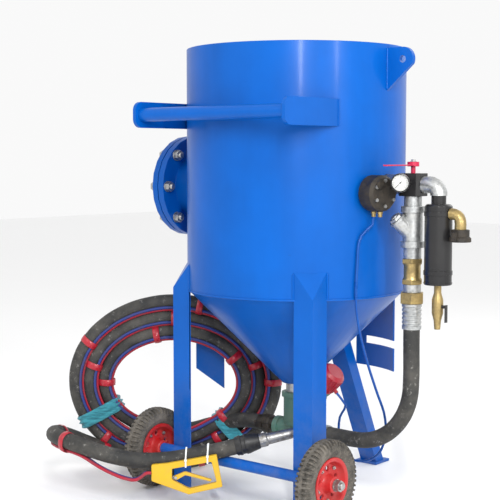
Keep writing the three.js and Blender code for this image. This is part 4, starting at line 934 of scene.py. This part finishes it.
# ---- Pressure gauge --------------------------------------------------------------------------
# A 54 mm gauge: black case and bezel, white dial with a scale of strokes,
# and a flat glass.
dressed("gauge_case", black_enamel, rounding=0.0008)
GAUGE = Vector((0.450, -0.080, 0.996)) + ORIGIN
GAUGE_AXIS = Vector((0.5, -math.sqrt(0.75), 0))
GAUGE_RIGHT = Vector((math.sqrt(0.75), 0.5, 0))
DIAL_FACE, STROKE_END = 0.0218, 0.0212
dial_white = Finish("dial_white", Specular_IOR_Level=0.1)
yellowed = dial_white.speckle(50, 3)
dial_white.set(Base_Color=dial_white.blend(yellowed * 0.5, colour(0.60, 0.60, 0.58),
                                           colour(0.52, 0.51, 0.47)),
               Roughness=0.45 + yellowed * 0.1)
dial = turned(bmesh.new(), [(0.0026, 0.0212), (0.0238, 0.0212), (0.0238, DIAL_FACE), (0.0026, DIAL_FACE)],
              GAUGE, GAUGE_AXIS, 64)
finished("gauge_dial", dial, dial_white, "pot", smooth_below=30)
dial_ink = Finish("dial_ink", Roughness=0.5)
dial_ink.set(Base_Color=dial_ink.blend(dial_ink.speckle(400, 2), colour(0.010, 0.010, 0.010),
                                       colour(0.03, 0.03, 0.03)))
dial_strokes = bmesh.new()
for i in range(31):
    angle = math.radians(225 - 9 * i)
    out = GAUGE_RIGHT * math.cos(angle) + Vector((0, 0, math.sin(angle)))
    across = GAUGE_RIGHT * -math.sin(angle) + Vector((0, 0, math.cos(angle)))
    inner, half = (0.0150, 0.00050) if i % 5 == 0 else (0.0180, 0.00028)
    start = GAUGE + GAUGE_AXIS * DIAL_FACE
    prism(dial_strokes, [start + out * inner - across * half, start + out * inner + across * half,
                         start + out * STROKE_END + across * half, start + out * STROKE_END - across * half],
          GAUGE_AXIS * 0.0002)
finished("gauge_strokes", dial_strokes, dial_ink, "pot")
dressed("gauge_needle", dial_ink, rounding=0.0001)
bezel = turned(bmesh.new(), [(0.0242, 0.0240), (0.0275, 0.0240), (0.0282, 0.0255), (0.0275, 0.0288),
                             (0.0252, 0.0292), (0.0242, 0.0280)], GAUGE, GAUGE_AXIS, 64)
finished("gauge_bezel", bezel, black_enamel, "pot")
glass = Finish("gauge_glass", Alpha=0.07, Roughness=0.30, Specular_IOR_Level=0.05)
glass.set(Base_Color=glass.blend(glass.speckle(30, 3) * 0.4, colour(0.92, 0.95, 0.95),
                                 colour(0.75, 0.78, 0.78)))
pane = turned(bmesh.new(), [(0, 0.0256), (0.0240, 0.0256), (0.0240, 0.0266), (0, 0.0270)],
              GAUGE, GAUGE_AXIS, 48)
finished("gauge_pane", pane, glass, "pot")

# ---- Control valve ---------------------------------------------------------------------------
# The drum that opens the inlet when the remote lever is squeezed: a rough dark casting with a
# ring of cover screws, two brass push fittings below, and a blue pilot tube.
dressed("control_valve", cast_iron, rounding=0.0022)
drum_turn = math.radians(-13.5)
DRUM_AXIS = Vector((math.cos(drum_turn), math.sin(drum_turn), 0))
DRUM_SIDE = Vector((-math.sin(drum_turn), math.cos(drum_turn), 0))
DRUM_BACK, DRUM_LENGTH, DRUM_RADIUS, DRUM_HEIGHT = 0.352, 0.0655, 0.054, 0.964
drum_screws = bmesh.new()
for i in range(6):
    angle = math.pi * (i + 0.5) / 3
    out = DRUM_SIDE * math.cos(angle) + Vector((0, 0, math.sin(angle)))
    place = DRUM_AXIS * (DRUM_BACK + DRUM_LENGTH) + Vector((0, 0, DRUM_HEIGHT)) + ORIGIN + out * 0.038
    hexagon(place, DRUM_AXIS, 0.010, 0.0055, drum_screws)
finished("drum_screws", drum_screws, zinc, "pot", rounding=0.0004)
fitting = [(0, 0), (0.0069, 0), (0.0069, 0.0145), (0.0055, 0.0162), (0, 0.0162)]
drum_fittings = bmesh.new()
for reach in (0.018, 0.046):
    drop = Vector((0, 0, DRUM_HEIGHT - DRUM_RADIUS - 0.0005))
    place = DRUM_AXIS * (DRUM_BACK + reach) + drop + ORIGIN
    hexagon(place, (0, 0, -1), 0.0150, 0.006, drum_fittings)
    turned(drum_fittings, fitting, place, (0, 0, -1), 20)
finished("drum_fittings", drum_fittings, dull_brass, "pot", rounding=0.0004)
tube_blue = Finish("tube_blue", Specular_IOR_Level=0.25)
clouded = tube_blue.step(tube_blue.speckle(25, 4), 0.4, 0.7)
tube_blue.set(Base_Color=tube_blue.blend(clouded * 0.6, colour(0.003, 0.060, 0.290),
                                         colour(0.012, 0.090, 0.340)),
              Roughness=0.26 + clouded * 0.2)
tube_blue.bump(tube_blue.speckle(200, 2), 0.1, 0.0003)
dressed("pilot_tube", tube_blue, rounding=0.0002, smooth_below=60)

# ---- Remote handle ---------------------------------------------------------------------------
# A flat yellow frame with a squeeze lever on a pin, hung under the hose by two white cable ties;
# a small black union takes the two control lines.
yellow_enamel = enamel("yellow_enamel", colour(0.66, 0.40, 0.006), colour(0.54, 0.31, 0.008),
                       colour(0.10, 0.09, 0.08), gloss=0.30, grit=0.25)
dressed("remote_frame", yellow_enamel, rounding=0.0028)
dressed("remote_lever", yellow_enamel, rounding=0.0022)
FRAME_PLANE = -0.247  # how far in front the remote handle hangs
lever_pin = turned(bmesh.new(), [
    (0, -0.0085), (0.0045, -0.0085), (0.005, -0.0075), (0.003, -0.0072), (0.003, 0.0072),
    (0.005, 0.0075), (0.0045, 0.0085), (0, 0.0085),
], laid(-0.376, FRAME_PLANE, 0.090), laid(0, -1, 0) - laid(0, 0, 0), 24)
finished("lever_pin", lever_pin, zinc, "pot", rounding=0.0003)
line_block = turned(bmesh.new(), [
    (0, 0), (0.0052, 0), (0.0058, 0.002), (0.0058, 0.009), (0.0072, 0.010), (0.0072, 0.016), (0, 0.016),
], laid(-0.4665, FRAME_PLANE, 0.105), laid(1, 0, 0) - laid(0, 0, 0), 24)
finished("line_entry", line_block, black_mould, "pot", rounding=0.0004)
nylon = Finish("white_nylon", Subsurface_Weight=0.1)
grubby = nylon.step(nylon.speckle(80, 5), 0.45, 0.75)
nylon.set(Base_Color=nylon.blend(grubby * 0.5, colour(0.80, 0.80, 0.77), colour(0.52, 0.50, 0.46)),
          Roughness=0.4 + grubby * 0.2)
nylon.bump(nylon.node("ShaderNodeTexWave", {}, {"Vector": nylon.place(), "Scale": 300}), 0.2, 0.0003)


def around(points):
    """The outline that a tight strap takes round some points, anticlockwise."""
    points = sorted(points)
    halves = []
    for row in (points, points[::-1]):
        half = []
        for p in row:
            while len(half) > 1 and ((half[-1][0] - half[-2][0]) * (p[1] - half[-2][1])
                                     - (half[-1][1] - half[-2][1]) * (p[0] - half[-2][0])) <= 0:
                half.pop()
            half.append(p)
        halves += half[:-1]
    return halves


def block(along_coil, half, front, rear, height):
    """The lower corners of a small block on a cable tie."""
    return [laid(along_coil - half, front, height), laid(along_coil + half, front, height),
            laid(along_coil + half, rear, height), laid(along_coil - half, rear, height)]


HUG = 0.0266  # the strap's radius round the hose
cable_ties = bmesh.new()
for along_coil, hose_height, bar_low, bar_high in (
    (-0.345, 0.1453, 0.1235, 0.1465), (-0.278, 0.1583, 0.1352, 0.1585),
):
    hugged = [(-0.212 + HUG * math.cos(math.pi * k / 14), hose_height + HUG * math.sin(math.pi * k / 14))
              for k in range(28)]
    hugged += [(-0.2555, bar_low), (-0.2555, bar_high), (-0.2385, bar_low), (-0.2385, bar_high)]
    loop = around(hugged)
    rows = []
    for half, thick in ((-0.0024, 0), (-0.0024, 0.0013), (0.0024, 0.0013), (0.0024, 0)):
        row = []
        for k, (v, height) in enumerate(loop):
            before, after = loop[k - 1], loop[(k + 1) % len(loop)]
            out = Vector((after[1] - before[1], before[0] - after[0])).normalized() * thick
            row.append(cable_ties.verts.new(laid(along_coil + half, v + out.x, height + out.y)))
        rows.append(row)
    for low_row, high_row in zip(rows, rows[1:] + rows[:1]):
        for k in range(len(loop)):
            n = (k + 1) % len(loop)
            cable_ties.faces.new((low_row[k], high_row[k], high_row[n], low_row[n]))
    prism(cable_ties, block(along_coil, 0.0035, -0.2615, -0.2565, bar_high - 0.004), (0, 0, 0.007))
    prism(cable_ties, block(along_coil, 0.0022, -0.2590, -0.2578, bar_high + 0.003), (0.008, -0.004, 0.040))
finished("cable_ties", cable_ties, nylon, "pot", rounding=0.0002)

# ---- Floor and light -------------------------------------------------------------------------
# A plain pale studio floor and soft light: a large key from the front left, tall strips that
# streak the tank from the front and the right, a fill, a back light and an even surround.
floor_paint = Finish("floor_paint", Roughness=0.75)
floor_paint.set(Base_Color=floor_paint.blend(floor_paint.speckle(3, 2) * 0.2, colour(0.93, 0.93, 0.93),
                                             colour(0.90, 0.90, 0.90)))
floor = bmesh.new()
FLOOR_REACH = 14
prism(floor, [(-FLOOR_REACH, -FLOOR_REACH, -0.021), (FLOOR_REACH, -FLOOR_REACH, -0.021),
              (FLOOR_REACH, FLOOR_REACH, -0.021), (-FLOOR_REACH, FLOOR_REACH, -0.021)], (0, 0, 0.02))
floor_data = bpy.data.meshes.new("floor")
floor.to_mesh(floor_data)
floor.free()
floor = bpy.data.objects.new("floor", floor_data)
bpy.context.scene.collection.objects.link(floor)
floor_data.materials.append(floor_paint.material)

surround = bpy.data.worlds.new("surround")
surround.use_nodes = True
surround.node_tree.nodes["Background"].inputs["Color"].default_value = (1, 1, 1, 1)
surround.node_tree.nodes["Background"].inputs["Strength"].default_value = 0.95
bpy.context.scene.world = surround
bpy.context.scene.view_settings.view_transform = "Standard"
for light_name, place, size, power in [
    ("key", (-1.2, -3.6, 3.2), (2.2, 2.2), 30), ("strip", (2.05, -2.35, 2.15), (0.16, 1.5), 70),
    ("fill", (3.6, -1.2, 1.8), (2.6, 2.6), 16), ("back", (0.6, 3.4, 2.8), (2.4, 2.4), 25),
    ("edge", (3.3, -0.75, 2.1), (0.20, 1.3), 30),
]:
    lamp = bpy.data.objects.new(light_name, bpy.data.lights.new(light_name, "AREA"))
    lamp.data.shape = "RECTANGLE"
    lamp.data.size, lamp.data.size_y = size
    lamp.data.energy = power
    lamp.location = place
    lamp.rotation_mode = "QUATERNION"
    lamp.rotation_quaternion = (Vector((0, 0, 0.7)) - Vector(place)).to_track_quat("-Z", "Y")
    bpy.context.scene.collection.objects.link(lamp)
